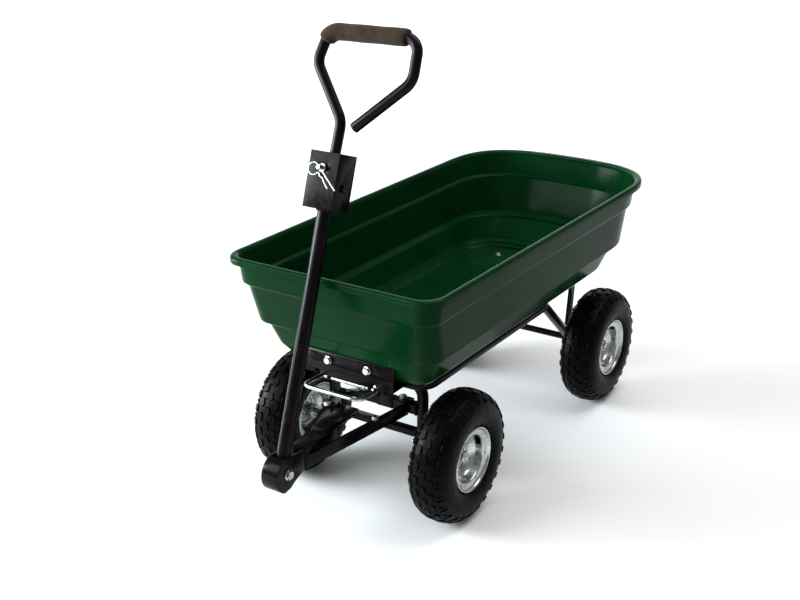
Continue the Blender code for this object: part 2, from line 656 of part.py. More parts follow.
def latch():
    front, back = CROSSBAR_FRONT, FRONT_Y - 0.1031
    low = 0.2806
    section = [
        (front, low), (FRONT_Y - 0.0645, low), (FRONT_Y - 0.0645, low + SHEET), (front + SHEET, low + SHEET),
        (front + SHEET, 0.2985), (back + 0.001, 0.2985), (back + 0.0035, 0.3255), (back + 0.0010, 0.3255),
        (back - 0.0020, 0.3015), (front, 0.3015),
    ]
    crossbar = prism("latch_crossbar", section, -CROSSBAR_HALF, CROSSBAR_HALF, BLACK)
    y, z = BAIL_AXIS.y, BAIL_AXIS.z
    for side in (1, -1):
        lug = [(y - 0.007, low + 0.001), (y - 0.007, z)] + arc((y, z), 0.007, 180, 360, 6) + [(y + 0.007, low + 0.001)]
        joined(crossbar, prism(f"bail_lug_{side}", lug, *sorted((side * 0.048, side * 0.044))))
        notch = (side * 0.0570, side * 0.0680)
        cut(crossbar, block(f"bail_notch_{side}", (min(notch), front - 0.01, 0.27), (max(notch), y + 0.006, 0.2890)))
    cut(crossbar, rod("bail_bore", (-0.055, y, z), (0.055, y, z), WIRE_R + GAP, segments=12))
    for side in (1, -1):
        x = CROSSBAR_BOLT_X[side]
        start, end = FRONT_Y - 0.12, FRONT_Y - 0.06
        cut(crossbar, rod(f"bar_hole_{side}", (x, start, CROSSBAR_BOLT_Z), (x, end, CROSSBAR_BOLT_Z), 0.0045, segments=10))
    for side, word in ((1, "right"), (-1, "left")):
        seat = (CROSSBAR_BOLT_X[side], back - 0.0022, CROSSBAR_BOLT_Z)
        hex_bolt("crossbar_bolt_" + word, seat, (0, 1, 0), 0.0040, 0.0075, 0.0055, 0.0200)
    bail(y, z)


def bail(y, z):
    """The wire handle, the rod it turns on and the hook that holds the tub down, all one weldment."""
    reach = FRONT_Y - 0.154 - y
    loop = [
        (-0.030, 0, 0), (0.0625, 0, 0), (0.0625, reach, 0.0045), (-0.0625, reach, 0.0045), (-0.0625, 0, 0),
        (0.030, 0, 0),
    ]
    at = Matrix.Translation((0, y, z))
    wire = bar("release_bail", rounded_path(loop[:4] + [loop[4]], (0.010, 0.016, 0.016), 4), WIRE_R, ZINC, at)
    axle = bar("bail_axle", [(-0.0640, 0, 0), (0.0600, 0, 0)], WIRE_R, at=at)
    hook = [(-0.0020, 0.001), (-0.0020, -0.0130), (0.0110, -0.0130), (0.0110, -0.0100), (0.0015, -0.0100), (0.0015, 0.001)]
    joined(wire, axle, prism("hook", hook, -0.020, 0.020, at=at))
    coil = []
    turns, points_a_turn, pitch = 4, 9, 0.0026
    for i in range(turns * points_a_turn + 1):
        angle = 2 * math.pi * i / points_a_turn
        coil.append((0.026 + pitch * i / points_a_turn, 0.0054 * math.cos(angle), 0.0054 * math.sin(angle)))
    bar("latch_spring", coil, 0.0009, ZINC, at, resolution=0)


for wheel_y, end_word in ((FRONT_Y, "front"), (REAR_Y, "rear")):
    for wheel_side, side_word in ((1, "right"), (-1, "left")):
        wheel(f"{end_word}_{side_word}", wheel_side, wheel_y)
chassis()
axle_hoop()
tongue()
handle()
folding_grip()
hitch_pin()
tub()
hinge_bracket()
latch()
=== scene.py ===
"""The looks of the garden dump cart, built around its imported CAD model."""

import math

import bmesh
import bpy
from mathutils import Matrix, Vector, noise


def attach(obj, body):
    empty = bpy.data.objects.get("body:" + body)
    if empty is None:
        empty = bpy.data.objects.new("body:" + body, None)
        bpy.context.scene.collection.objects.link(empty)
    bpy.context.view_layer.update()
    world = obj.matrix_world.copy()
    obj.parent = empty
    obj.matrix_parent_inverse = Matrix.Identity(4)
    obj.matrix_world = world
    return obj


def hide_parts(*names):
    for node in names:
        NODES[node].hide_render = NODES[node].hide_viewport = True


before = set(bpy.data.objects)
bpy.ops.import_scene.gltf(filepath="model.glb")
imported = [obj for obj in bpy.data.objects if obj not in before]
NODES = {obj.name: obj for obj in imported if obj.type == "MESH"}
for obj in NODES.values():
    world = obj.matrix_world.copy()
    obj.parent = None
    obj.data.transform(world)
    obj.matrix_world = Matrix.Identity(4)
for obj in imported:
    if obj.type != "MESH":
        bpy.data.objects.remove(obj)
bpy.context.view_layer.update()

# Dimensions shared with the CAD, in metres.
FRONT_Y, WHEELBASE = -0.243, 0.624
REAR_Y = FRONT_Y + WHEELBASE
HALF_LENGTH, TUB_HALF_WIDTH, RIM_Z, FLOOR_Z, SHEET = 0.580, 0.230, 0.500, 0.2935, 0.003
HALF_TRACK, WHEEL_R = 0.180, 0.130
PIVOT = Vector((0, -0.5465, 0.181))
LEAN = math.radians(18.4)
STEM = Matrix.Translation(PIVOT) @ Matrix.Rotation(-LEAN, 4, "X")
HINGE = Vector((0, REAR_Y + 0.017, 0.270))
BAIL = Vector((0, FRONT_Y - 0.092, 0.2695))
FOLD_S, PIN_S = 0.505, 0.535

# ---------------------------------------------------------------- materials


def srgb(r, g, b):
    """A linear colour from 0 to 255 screen values."""
    shares = [value / 255 for value in (r, g, b)]
    return tuple(v / 12.92 if v < 0.0404 else ((v + 0.055) / 1.055) ** 2.4 for v in shares) + (1,)


class Finish:
    """A procedural material: a Principled shader with small helpers for its noise and bump."""

    def __init__(self, name, **values):
        self.material = bpy.data.materials.new(name)
        self.material.use_nodes = True
        self.tree = self.material.node_tree
        self.shader = self.tree.nodes["Principled BSDF"]
        for key, value in values.items():
            self.shader.inputs[key.replace("_", " ")].default_value = value
        self.coords = self.tree.nodes.new("ShaderNodeTexCoord")
        self.bumped = None

    def link(self, source, target):
        self.tree.links.new(source, target)

    def place(self, scale=(1, 1, 1)):
        node = self.tree.nodes.new("ShaderNodeMapping")
        node.inputs["Scale"].default_value = scale
        self.link(self.coords.outputs["Object"], node.inputs["Vector"])
        return node.outputs["Vector"]

    def noise(self, scale, detail=4, rough=0.55, stretch=(1, 1, 1), distort=0.0):
        node = self.tree.nodes.new("ShaderNodeTexNoise")
        node.inputs["Scale"].default_value = scale
        node.inputs["Detail"].default_value = detail
        node.inputs["Roughness"].default_value = rough
        node.inputs["Distortion"].default_value = distort
        self.link(self.place(stretch), node.inputs["Vector"])
        return node.outputs["Fac"]

    def cells(self, scale, feature="F1", output="Distance"):
        node = self.tree.nodes.new("ShaderNodeTexVoronoi")
        node.feature = feature
        node.inputs["Scale"].default_value = scale
        self.link(self.place(), node.inputs["Vector"])
        return node.outputs[output]

    def ramp(self, source, low, high, start=0.0, end=1.0):
        node = self.tree.nodes.new("ShaderNodeMapRange")
        node.interpolation_type = "SMOOTHSTEP"
        node.inputs["From Min"].default_value = low
        node.inputs["From Max"].default_value = high
        node.inputs["To Min"].default_value = start
        node.inputs["To Max"].default_value = end
        self.link(source, node.inputs["Value"])
        return node.outputs["Result"]

    def mix(self, factor, first, second):
        node = self.tree.nodes.new("ShaderNodeMix")
        node.data_type = "RGBA"
        self.link(factor, node.inputs["Factor"])
        for socket, value in (("A", first), ("B", second)):
            target = next(i for i in node.inputs if i.name == socket and i.type == "RGBA")
            if isinstance(value, tuple):
                target.default_value = value
            else:
                self.link(value, target)
        return next(o for o in node.outputs if o.type == "RGBA")

    def color(self, source):
        self.link(source, self.shader.inputs["Base Color"])

    def roughness(self, source):
        self.link(source, self.shader.inputs["Roughness"])

    def bump(self, height, strength, distance):
        node = self.tree.nodes.new("ShaderNodeBump")
        node.inputs["Strength"].default_value = strength
        node.inputs["Distance"].default_value = distance
        self.link(height, node.inputs["Height"])
        if self.bumped:
            self.link(self.bumped, node.inputs["Normal"])
        self.bumped = node.outputs["Normal"]
        self.link(self.bumped, self.shader.inputs["Normal"])


def tub_plastic():
    """Glossy green moulding with faint scuffs along its length."""
    made = Finish("tub_plastic", IOR=1.5, Specular_IOR_Level=0.035)
    shade = made.ramp(made.noise(5.0, 3), 0.35, 0.7)
    body = made.mix(shade, srgb(3, 39, 16), srgb(6, 48, 21))
    scuffs = made.ramp(made.noise(34, 6, 0.7, (1, 0.18, 2.2), 0.4), 0.68, 0.84)
    dusted = made.mix(scuffs, body, srgb(13, 57, 29))
    made.color(dusted)
    made.roughness(made.ramp(made.noise(60, 5, 0.6, (1, 0.3, 1)), 0.3, 0.75, 0.12, 0.22))
    made.bump(made.noise(240, 2, 0.5), 0.06, 0.0004)
    made.bump(made.noise(11, 2, 0.5), 0.10, 0.003)
    return made.material


def black_paint():
    """Powder coat with a few chips."""
    made = Finish("black_paint", IOR=1.5, Specular_IOR_Level=0.08)
    shade = made.mix(made.ramp(made.noise(18, 4), 0.4, 0.7), srgb(9, 6, 7), srgb(19, 13, 14))
    chips = made.ramp(made.noise(420, 3, 0.6), 0.76, 0.80)
    made.color(made.mix(chips, shade, srgb(70, 62, 58)))
    made.roughness(made.ramp(made.noise(90, 4, 0.6), 0.3, 0.75, 0.16, 0.30))
    made.bump(made.noise(520, 2, 0.5), 0.16, 0.0004)
    return made.material


def zinc():
    """Zinc plate: a fine spangle with duller stains."""
    made = Finish("zinc", Metallic=1.0)
    spangle = made.cells(210, "F1", "Distance")
    shade = made.mix(made.ramp(spangle, 0.1, 0.9), srgb(172, 178, 180), srgb(202, 205, 204))
    stain = made.ramp(made.noise(40, 5, 0.65), 0.50, 0.78)
    made.color(made.mix(stain, shade, srgb(122, 116, 102)))
    made.roughness(made.ramp(made.noise(60, 4, 0.6), 0.3, 0.75, 0.16, 0.30))
    made.bump(made.noise(200, 2, 0.6), 0.05, 0.0002)
    return made.material


def tyre_rubber():
    """Matte black rubber with a little dust."""
    made = Finish("tyre_rubber", IOR=1.5, Specular_IOR_Level=0.05)
    worn = made.ramp(made.noise(26, 6, 0.65), 0.45, 0.75)
    shade = made.mix(worn, srgb(6, 5, 5), srgb(13, 10, 11))
    dust = made.ramp(made.noise(150, 5, 0.7), 0.62, 0.84)
    made.color(made.mix(dust, shade, srgb(32, 27, 24)))
    made.roughness(made.ramp(made.noise(70, 5, 0.6), 0.3, 0.75, 0.30, 0.48))
    made.bump(made.noise(420, 4, 0.6), 0.25, 0.0004)
    return made.material


def tube_rubber():
    """The grey rubber of inner tubes and valve stems."""
    made = Finish("tube_rubber", IOR=1.5)
    made.color(made.mix(made.noise(40), srgb(24, 23, 24), srgb(38, 36, 36)))
    made.roughness(made.ramp(made.noise(90), 0.3, 0.7, 0.6, 0.8))
    made.bump(made.noise(300), 0.2, 0.0004)
    return made.material


def grip_foam():
    """Brown foam with open pores."""
    made = Finish("grip_foam", IOR=1.45, Specular_IOR_Level=0.12, Sheen_Weight=0.06, Sheen_Roughness=0.5)
    shade = made.mix(made.ramp(made.noise(45, 5), 0.35, 0.7), srgb(39, 29, 19), srgb(52, 41, 28))
    pores = made.ramp(made.cells(1500), 0.08, 0.42)
    made.color(made.mix(pores, srgb(22, 16, 11), shade))
    made.roughness(made.ramp(made.noise(110, 4), 0.3, 0.7, 0.72, 0.92))
    made.bump(made.cells(1500), 0.5, 0.0004)
    made.bump(made.noise(60, 4), 0.3, 0.0012)
    return made.material


def floor_paint():
    """The pale floor."""
    made = Finish("studio_floor", IOR=1.3)
    dull, clean = (0.87, 0.87, 0.87, 1), (0.90, 0.90, 0.895, 1)
    made.color(made.mix(made.ramp(made.noise(1.3, 3), 0.3, 0.7), dull, clean))
    made.roughness(made.ramp(made.noise(9, 4), 0.3, 0.7, 0.62, 0.75))
    return made.material


FINISHES = {
    "tub_plastic": tub_plastic(), "black_paint": black_paint(), "zinc": zinc(),
    "tyre_rubber": tyre_rubber(), "tube_rubber": tube_rubber(), "grip_foam": grip_foam(),
}

# ---------------------------------------------------------------- mesh helpers


def add(name, mesh, slot, body, *nodes, at=None, sharp=35):
    """A finished piece that rides on a body and stands for the nodes named."""
    if at is not None:
        mesh.transform(at)
    mesh.shade_smooth()
    mesh.set_sharp_from_angle(angle=math.radians(sharp))
    mesh.materials.clear()
    mesh.materials.append(FINISHES[slot])
    obj = bpy.data.objects.new(name, mesh)
    bpy.context.scene.collection.objects.link(obj)
    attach(obj, body)
    if nodes:
        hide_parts(*nodes)
    return obj


def to_mesh(build):
    """A mesh from a function that fills a bmesh."""
    bm = bmesh.new()
    build(bm)
    bmesh.ops.recalc_face_normals(bm, faces=bm.faces)
    mesh = bpy.data.meshes.new("piece")
    bm.to_mesh(mesh)
    bm.free()
    return mesh


def skin(bm, rings):
    """Faces between rings of equal count, and one over each end."""
    count = len(rings[0])
    for low, high in zip(rings, rings[1:]):
        for k in range(count):
            n = (k + 1) % count
            bm.faces.new((low[k], low[n], high[n], high[k]))
    bm.faces.new(rings[0][::-1])
    bm.faces.new(rings[-1])


def merged(*meshes):
    """One mesh from several."""
    bm = bmesh.new()
    for mesh in meshes:
        bm.from_mesh(mesh)
    made = bpy.data.meshes.new("merged")
    bm.to_mesh(made)
    bm.free()
    return made


def moved(mesh, matrix):
    """A copy of the mesh in another place."""
    mesh = mesh.copy()
    mesh.transform(matrix)
    return mesh


def sided(mesh, side):
    """The mesh as it is on the right, or its mirror image on the left."""
    if side < 0:
        mesh = moved(mesh, Matrix.Diagonal((-1, 1, 1, 1)))
        mesh.flip_normals()
    return mesh


def applied(mesh, *modifiers):
    """The mesh with (type, settings) modifiers applied."""
    obj = bpy.data.objects.new("working", mesh)
    bpy.context.scene.collection.objects.link(obj)
    for kind, settings in modifiers:
        made = obj.modifiers.new(kind.lower(), kind)
        for key, value in settings.items():
            setattr(made, key, value)
    graph = bpy.context.evaluated_depsgraph_get()
    made = bpy.data.meshes.new_from_object(obj.evaluated_get(graph))
    bpy.data.objects.remove(obj)
    return made


def helper(mesh):
    """An object that only serves a Boolean; carved() removes it."""
    obj = bpy.data.objects.new("helper", mesh)
    bpy.context.scene.collection.objects.link(obj)
    return obj


def carved(mesh, *cutters):
    """The mesh with the cutters' meshes taken out of it."""
    helpers = [helper(cutter) for cutter in cutters]
    made = applied(mesh, *(("BOOLEAN", {"operation": "DIFFERENCE", "object": item}) for item in helpers))
    for item in helpers:
        bpy.data.objects.remove(item)
    return made


def bevelled(mesh, width, segments=2):
    """The mesh with its sharp edges rounded."""
    settings = {
        "width": width, "segments": segments, "limit_method": "ANGLE", "angle_limit": math.radians(35),
        "harden_normals": False, "use_clamp_overlap": True,
    }
    return applied(mesh, ("BEVEL", settings))


def cad_copy(node, width=0.0008, segments=2):
    """The node's own mesh with its flat faces merged and its edges rounded."""
    bm = bmesh.new()
    bm.from_mesh(NODES[node].data)
    bmesh.ops.remove_doubles(bm, verts=bm.verts, dist=1e-5)
    bmesh.ops.dissolve_limit(bm, angle_limit=math.radians(1.5), verts=bm.verts, edges=bm.edges)
    mesh = bpy.data.meshes.new(node + "_copy")
    bm.to_mesh(mesh)
    bm.free()
    return bevelled(mesh, width, segments)


def block(low, high, width=0.0010, segments=2):
    """A box between two corners with rounded edges."""
    low, high = Vector(low), Vector(high)

    def build(bm):
        bmesh.ops.create_cube(bm, size=1)
        bmesh.ops.scale(bm, vec=high - low, verts=bm.verts)
        bmesh.ops.translate(bm, vec=(low + high) / 2, verts=bm.verts)
        bmesh.ops.bevel(bm, geom=bm.edges[:], offset=width, segments=segments, affect="EDGES", profile=0.5)

    return to_mesh(build)


def plate(outline, x_low, x_high, width=0.0006):
    """A plate with a (y, z) outline, its edges rounded."""

    def build(bm):
        verts = [bm.verts.new((x_low, y, z)) for y, z in outline]
        face = bm.faces.new(verts)
        made = bmesh.ops.extrude_face_region(bm, geom=[face])["geom"]
        bmesh.ops.translate(
            bm, vec=(x_high - x_low, 0, 0),
            verts=[item for item in made if isinstance(item, bmesh.types.BMVert)]
        )

    return bevelled(to_mesh(build), width)


def arc(centre, radius, start_deg, end_deg, steps):
    """Points of an arc in a plane."""
    points = []
    for i in range(steps + 1):
        angle = math.radians(start_deg + (end_deg - start_deg) * i / steps)
        points.append((centre[0] + radius * math.cos(angle), centre[1] + radius * math.sin(angle)))
    return points


def rounded_path(corners, radii, steps=10):
    """Straight runs whose inner corners are arcs of the given radii."""
    corners = [Vector(corner) for corner in corners]
    points = [corners[0]]
    for before, corner, after, radius in zip(corners, corners[1:], corners[2:], radii):
        into, out = (corner - before).normalized(), (after - corner).normalized()
        turn = into.angle(out)
        start = corner - into * radius * math.tan(turn / 2)
        side = (out - into * into.dot(out)).normalized()
        centre = start + side * radius
        for i in range(steps + 1):
            angle = turn * i / steps
            points.append(centre - side * radius * math.cos(angle) + into * radius * math.sin(angle))
    return points + [corners[-1]]


def sweep(points, radius, sides=28, wall=0.0, depth=0.012, edge=0.0006, radii=None):
    """A round tube along a path. With a wall its ends are open to a depth, and otherwise they are rounded."""
    points = [Vector(point) for point in points]
    tangents = []
    for i, point in enumerate(points):
        before, after = points[max(i - 1, 0)], points[min(i + 1, len(points) - 1)]
        tangents.append((after - before).normalized())
    side = tangents[0].orthogonal().normalized()
    rings = []
    for i, (point, tangent) in enumerate(zip(points, tangents)):
        side = (side - tangent * side.dot(tangent)).normalized()
        rings.append((point, side.copy(), tangent.cross(side), (radii[i] if radii else radius)))

    def build(bm):
        def ring(centre, across, up, r):
            return [
                bm.verts.new(centre + (across * math.cos(a) + up * math.sin(a)) * r)
                for a in (2 * math.pi * k / sides for k in range(sides))
            ]

        def end(index, sign):
            centre, across, up, r = rings[index]
            out = tangents[index] * sign
            if wall:
                return [
                    ring(centre - out * edge * 0.3, across, up, r - edge * 0.15),
                    ring(centre, across, up, r - edge),
                    ring(centre, across, up, r - wall + edge * 0.5),
                    ring(centre - out * edge, across, up, r - wall),
                    ring(centre - out * depth, across, up, r - wall),
                ]
            return [
                ring(centre - out * edge * 0.3, across, up, r - edge * 0.05),
                ring(centre, across, up, r - edge),
            ]

        start_rings = end(0, -1)[::-1]
        first, last = rings[0], rings[-1]
        body = [ring(first[0] + tangents[0] * edge, first[1], first[2], first[3])]
        body += [ring(*item) for item in rings[1:-1]]
        body.append(ring(last[0] - tangents[-1] * edge, last[1], last[2], last[3]))
        skin(bm, start_rings + body + end(len(rings) - 1, 1))

    return to_mesh(build)


def catmull(points, steps):
    """A smooth run through the points."""
    points = [Vector(point) for point in points]
    ends = [points[0] * 2 - points[1]] + points + [points[-1] * 2 - points[-2]]
    made = []
    for a, b, c, d in zip(ends, ends[1:], ends[2:], ends[3:]):
        for i in range(steps):
            t = i / steps
            slope, bow, twist = c - a, 2 * a - 5 * b + 4 * c - d, 3 * b - a - 3 * c + d
            made.append(0.5 * (2 * b + slope * t + bow * t * t + twist * t ** 3))
    return made + [points[-1]]


def revolve(profile, centre, steps=96):
    """A closed (x, radius) profile turned about the X axis through centre."""

    def build(bm):
        rings = []
        for k in range(steps):
            a = 2 * math.pi * k / steps
            rings.append([bm.verts.new((x, r * math.cos(a), r * math.sin(a))) for x, r in profile])
        count = len(profile)
        for k in range(steps):
            here, there = rings[k], rings[(k + 1) % steps]
            for i in range(count):
                j = (i + 1) % count
                bm.faces.new((here[i], here[j], there[j], there[i]))

    return moved(to_mesh(build), Matrix.Translation(centre))


def thickened(line, half):
    """A closed profile around a centre line of (x, radius) points."""
    line = [Vector(point) for point in line]
    left, right = [], []
    for i, point in enumerate(line):
        along = (line[min(i + 1, len(line) - 1)] - line[max(i - 1, 0)]).normalized()
        normal = Vector((-along.y, along.x))
        left.append(point + normal * half)
        right.append(point - normal * half)
    tip = (line[-1] - line[-2]).normalized() * half * 0.7
    return [tuple(p) for p in left + [line[-1] + tip] + right[::-1]]


def facing(origin, direction):
    """A matrix that takes local +Z to the direction, at the origin."""
    return Matrix.Translation(origin) @ Vector(direction).to_track_quat("Z", "Y").to_matrix().to_4x4()


def circle(r, z, steps):
    """Points around local Z."""
    angles = [2 * math.pi * k / steps for k in range(steps)]
    return [Vector((r * math.cos(a), r * math.sin(a), z)) for a in angles]


def lathe_z(profile, steps=32):
    """A solid of revolution about local Z from (radius, z) points, its ends closed by a face."""

    def build(bm):
        skin(bm, [[bm.verts.new(point) for point in circle(r, z, steps)] for r, z in profile])

    return to_mesh(build)


def hexagon(across, height, bore=0.0):
    """A hex head or nut on z 0, chamfered on top; with a bore its top is open round a threaded end."""
    steps = 48
    corner = across / math.cos(math.pi / 6)

    def ring(z, scale=1.0, limit=1.0):
        made = []
        for k in range(steps):
            a = 2 * math.pi * k / steps
            r = min(across / math.cos(a % (math.pi / 3) - math.pi / 6) * scale, limit)
            made.append(Vector((r * math.cos(a), r * math.sin(a), z)))
        return made

    rings = [ring(0.0, 0.995), ring(height * 0.06), ring(height * 0.72)]
    rings.append(ring(height * 0.88, limit=0.99 * (across + corner) / 2))
    rings.append(ring(height, limit=across * 0.95))
    if bore:
        rings += [circle(bore * 1.12, height, steps), circle(bore * 1.02, height * 0.86, steps)]
    else:
        rings.append(circle(across * 0.82, height * 0.985, steps))
    return to_mesh(lambda bm: skin(bm, [[bm.verts.new(point) for point in points] for points in rings]))


def washer(radius, thick=0.0012):
    """A flat washer on z 0."""
    shares = ((0.98, -0.05), (1.0, 0.2), (1.0, 0.75), (0.96, 1.0))
    return lathe_z([(radius * wide, thick * high) for wide, high in shares])


def threaded(radius, length):
    """A threaded shank end along +Z."""
    pitch = 0.0011
    rings = []
    turns = max(2, int(length / pitch))
    for i in range(turns):
        z = i * pitch
        rings += [(radius * 0.88, z), (radius * 0.99, z + pitch * 0.45), (radius, z + pitch * 0.55)]
    rings += [(radius * 0.88, turns * pitch), (radius * 0.72, turns * pitch + 0.0008)]
    return lathe_z(rings, 20)


def weld_bead(points, radius=0.0022, seed=1.0):
    """A rippled bead along a path."""
    path = []
    points = [Vector(point) for point in points]
    for a, b in zip(points, points[1:]):
        count = max(2, int((b - a).length / 0.0011))
        path += [a.lerp(b, i / count) for i in range(count)]
    path.append(points[-1])
    radii = []
    for i, point in enumerate(path):
        lump = noise.noise(point * 160 + Vector((seed, 0, 0)))
        radii.append(radius * (0.86 + 0.16 * math.sin(i * 1.9) + 0.12 * lump))
    return sweep(path, radius, sides=10, radii=radii)


# ---------------------------------------------------------------- wheels

CARCASS = (
    (0.0262, 0.0515), (0.0272, 0.0560), (0.0290, 0.0625), (0.0345, 0.0665),
    (0.0400, 0.0735), (0.0424, 0.0850),
    (0.0418, 0.0960), (0.0392, 0.1055), (0.0345, 0.1140), (0.0270, 0.1205), (0.0150, 0.1250), (0.0, 0.1268),
)
LINING = (
    (0.0225, 0.0515), (0.0235, 0.0650), (0.0380, 0.0860), (0.0325, 0.1100), (0.0140, 0.1210), (0.0, 0.1225)
)
SIDE_RINGS = (
    (0.0690, 0.0007, 0.0008), (0.0722, 0.0004, 0.0007), (0.1010, 0.0006, 0.0010), (0.1042, 0.0004, 0.0007)
)
TREAD_HEIGHT = 0.0032


def carcass_line():
    """The smooth half section of the tyre, from its bead to the middle of the tread."""
    return catmull(CARCASS, 7)


def tyre_profile():
    """The half section with the moulded rings of its side wall."""
    half = carcass_line()
    made = []
    for i, point in enumerate(half):
        along = (half[min(i + 1, len(half) - 1)] - half[max(i - 1, 0)]).normalized()
        normal = Vector((along.y, -along.x))
        rises = [rise * math.exp(-(((point.y - radius) / width) ** 2)) for radius, rise, width in SIDE_RINGS]
        made.append(point + normal * (sum(rises) if point.x > 0.033 else 0.0))
    return made


def tread_frame():
    """A function from the distance across the tread to the carcass's point and outward normal."""
    half = carcass_line()[::-1]
    run = [0.0]
    for a, b in zip(half, half[1:]):
        run.append(run[-1] + (b - a).length)

    def at(s):
        sign, s = (1 if s >= 0 else -1), abs(s)
        i = max(k for k, length in enumerate(run[:-1]) if length <= s)
        t = (s - run[i]) / (run[i + 1] - run[i])
        point = half[i].lerp(half[i + 1], t)
        along = (half[i + 1] - half[i]).normalized()
        normal = Vector((-along.y, along.x))
        if normal.dot(Vector((0, 1))) < 0 and abs(along.x) > 0.3:
            normal = -normal
        if normal.dot(point - Vector((0, 0.088))) < 0:
            normal = -normal
        return Vector((sign * point.x, point.y)), Vector((sign * normal.x, normal.y))

    return at


def add_block(bm, at, outline, angle, height):
    """A tread block: outline points are (distance round the tyre, distance across it), in metres."""
    centre = Vector((sum(p[0] for p in outline) / len(outline), sum(p[1] for p in outline) / len(outline)))

    def ring(lift, inset):
        verts = []
        for point in outline:
            point = Vector(point)
            inward = centre - point
            point = point + inward.normalized() * min(inset, inward.length * 0.6)
            base, normal = at(point.y)
            a = angle + point.x / WHEEL_R
            place = base + normal * lift
            verts.append(bm.verts.new((place.x, place.y * math.cos(a), place.y * math.sin(a))))
        return verts

    rings = [
        ring(-0.0008, -0.0006), ring(height * 0.12, 0.0001), ring(height * 0.84, 0.0006),
        ring(height, 0.0013),
    ]
    skin(bm, rings)


CHUNKY_PITCHES = 27


def chunky_tread(bm, at):
    """Staggered blocks with lugs over the shoulder."""
    pitch = 2 * math.pi / CHUNKY_PITCHES
    middle = [
        (-0.0085, -0.0052), (-0.0040, -0.0078), (0.0085, -0.0052),
        (0.0085, 0.0052), (0.0040, 0.0078), (-0.0085, 0.0052),
    ]
    near = [
        (-0.0100, 0.0105), (0.0060, 0.0092), (0.0100, 0.0130),
        (0.0100, 0.0212), (-0.0062, 0.0222), (-0.0100, 0.0185),
    ]
    lug = [
        (-0.0070, 0.0255), (0.0070, 0.0248), (0.0086, 0.0300),
        (0.0064, 0.0420), (-0.0064, 0.0420), (-0.0086, 0.0310),
    ]
    small = [(-0.0036, 0.0262), (0.0036, 0.0262), (0.0036, 0.0350), (-0.0036, 0.0350)]
    for k in range(CHUNKY_PITCHES):
        add_block(bm, at, middle, k * pitch, TREAD_HEIGHT)
        for sign in (1, -1):
            for outline, turns, share in ((near, k + 0.5, 1.0), (lug, k, 0.92), (small, k + 0.5, 0.7)):
                sided = [(x, sign * s) for x, s in outline][::sign]
                add_block(bm, at, sided, turns * pitch, TREAD_HEIGHT * share)


def tyre(prefix, body, centre):
    """The carcass with its tread blocks."""
    outer = tyre_profile()
    inner = catmull(LINING, 4)
    profile = [(p.x, p.y) for p in outer] + [(-p.x, p.y) for p in outer[::-1][1:]]
    profile += [(-p.x, p.y) for p in inner] + [(p.x, p.y) for p in inner[::-1][1:]]
    carcass = revolve(profile, Vector(), 112)
    at = tread_frame()
    blocks = to_mesh(lambda bm: chunky_tread(bm, at))
    add(
        prefix + "_tyre_treaded", merged(carcass, blocks), "tyre_rubber", body, prefix + "_tyre",
        at=Matrix.Translation(centre), sharp=40,
    )


DISH_LINE = (
    (0.0022, 0.0160), (0.0022, 0.0205), (0.0034, 0.0222), (0.0034, 0.0292),
    (0.0022, 0.0312), (0.0028, 0.0335),
    (0.0066, 0.0390), (0.0112, 0.0430), (0.0160, 0.0450), (0.0260, 0.0470),
    (0.0288, 0.0486), (0.0296, 0.0520),
    (0.0302, 0.0560), (0.0322, 0.0592), (0.0345, 0.0606), (0.0358, 0.0618),
    (0.0354, 0.0630), (0.0340, 0.0634),
)
SLOT_TURN = {"front": 27.5, "rear": 52.5}


def slot_cutter(angle):
    """A rounded bar that opens a hand hole in the dish's side wall."""
    bar = block((0.0150, 0.030, -0.0125), (0.0255, 0.062, 0.0125), 0.0030, 4)
    return moved(bar, Matrix.Rotation(angle, 4, "X"))


def dish(prefix, body, node, centre, side, phase):
    """One pressed half of a rim, with two hand holes."""
    line = catmull(DISH_LINE, 4)
    mesh = revolve(thickened(line, 0.00085), Vector(), 96)
    cutters = [slot_cutter(phase), slot_cutter(phase + math.pi)]
    mesh = carved(mesh, *cutters)
    mesh = sided(mesh, side)
    add(
        f"{prefix}_{node}_dish", mesh, "zinc", body, f"{prefix}_{node}",
        at=Matrix.Translation(centre), sharp=30,
    )


def wheel_bolts(prefix, body, centre, side):
    """The four bolts that hold the rim halves together."""
    pieces = []
    for k in range(4):
        a = math.radians(45 + 90 * k)
        place = Vector((side * 0.0040, 0.0262 * math.cos(a), 0.0262 * math.sin(a)))
        turn = facing(place, (side, 0, 0))
        pieces.append(moved(washer(0.0068, 0.0010), turn))
        pieces.append(moved(hexagon(0.0050, 0.0045, bore=0.0030), turn @ Matrix.Translation((0, 0, 0.0010))))
        pieces.append(moved(threaded(0.0030, 0.0045), turn @ Matrix.Translation((0, 0, 0.0050))))
    add(prefix + "_rim_bolts", merged(*pieces), "zinc", body, at=Matrix.Translation(centre))


def valve(prefix, body, centre, side, phase):
    """The valve stem and its cap, on the inner side of the wheel."""
    stem = sweep([(0, 0, 0), (0, 0, 0.012), (0, 0, 0.024)], 0.0036, 20, radii=[0.0046, 0.0036, 0.0034])
    cap = lathe_z([(0.0040, 0.0235), (0.0043, 0.0245), (0.0043, 0.0310), (0.0034, 0.0325)], 20)
    axis = Vector((0.86, -0.50, 0))
    turn = Matrix.Rotation(phase, 4, "X") @ facing(Vector((0.0170, 0.0455, 0)), axis)
    mesh = moved(merged(stem, cap), turn)
    mesh = sided(mesh, side)
    add(prefix + "_valve", mesh, "tube_rubber", body, at=Matrix.Translation(centre))


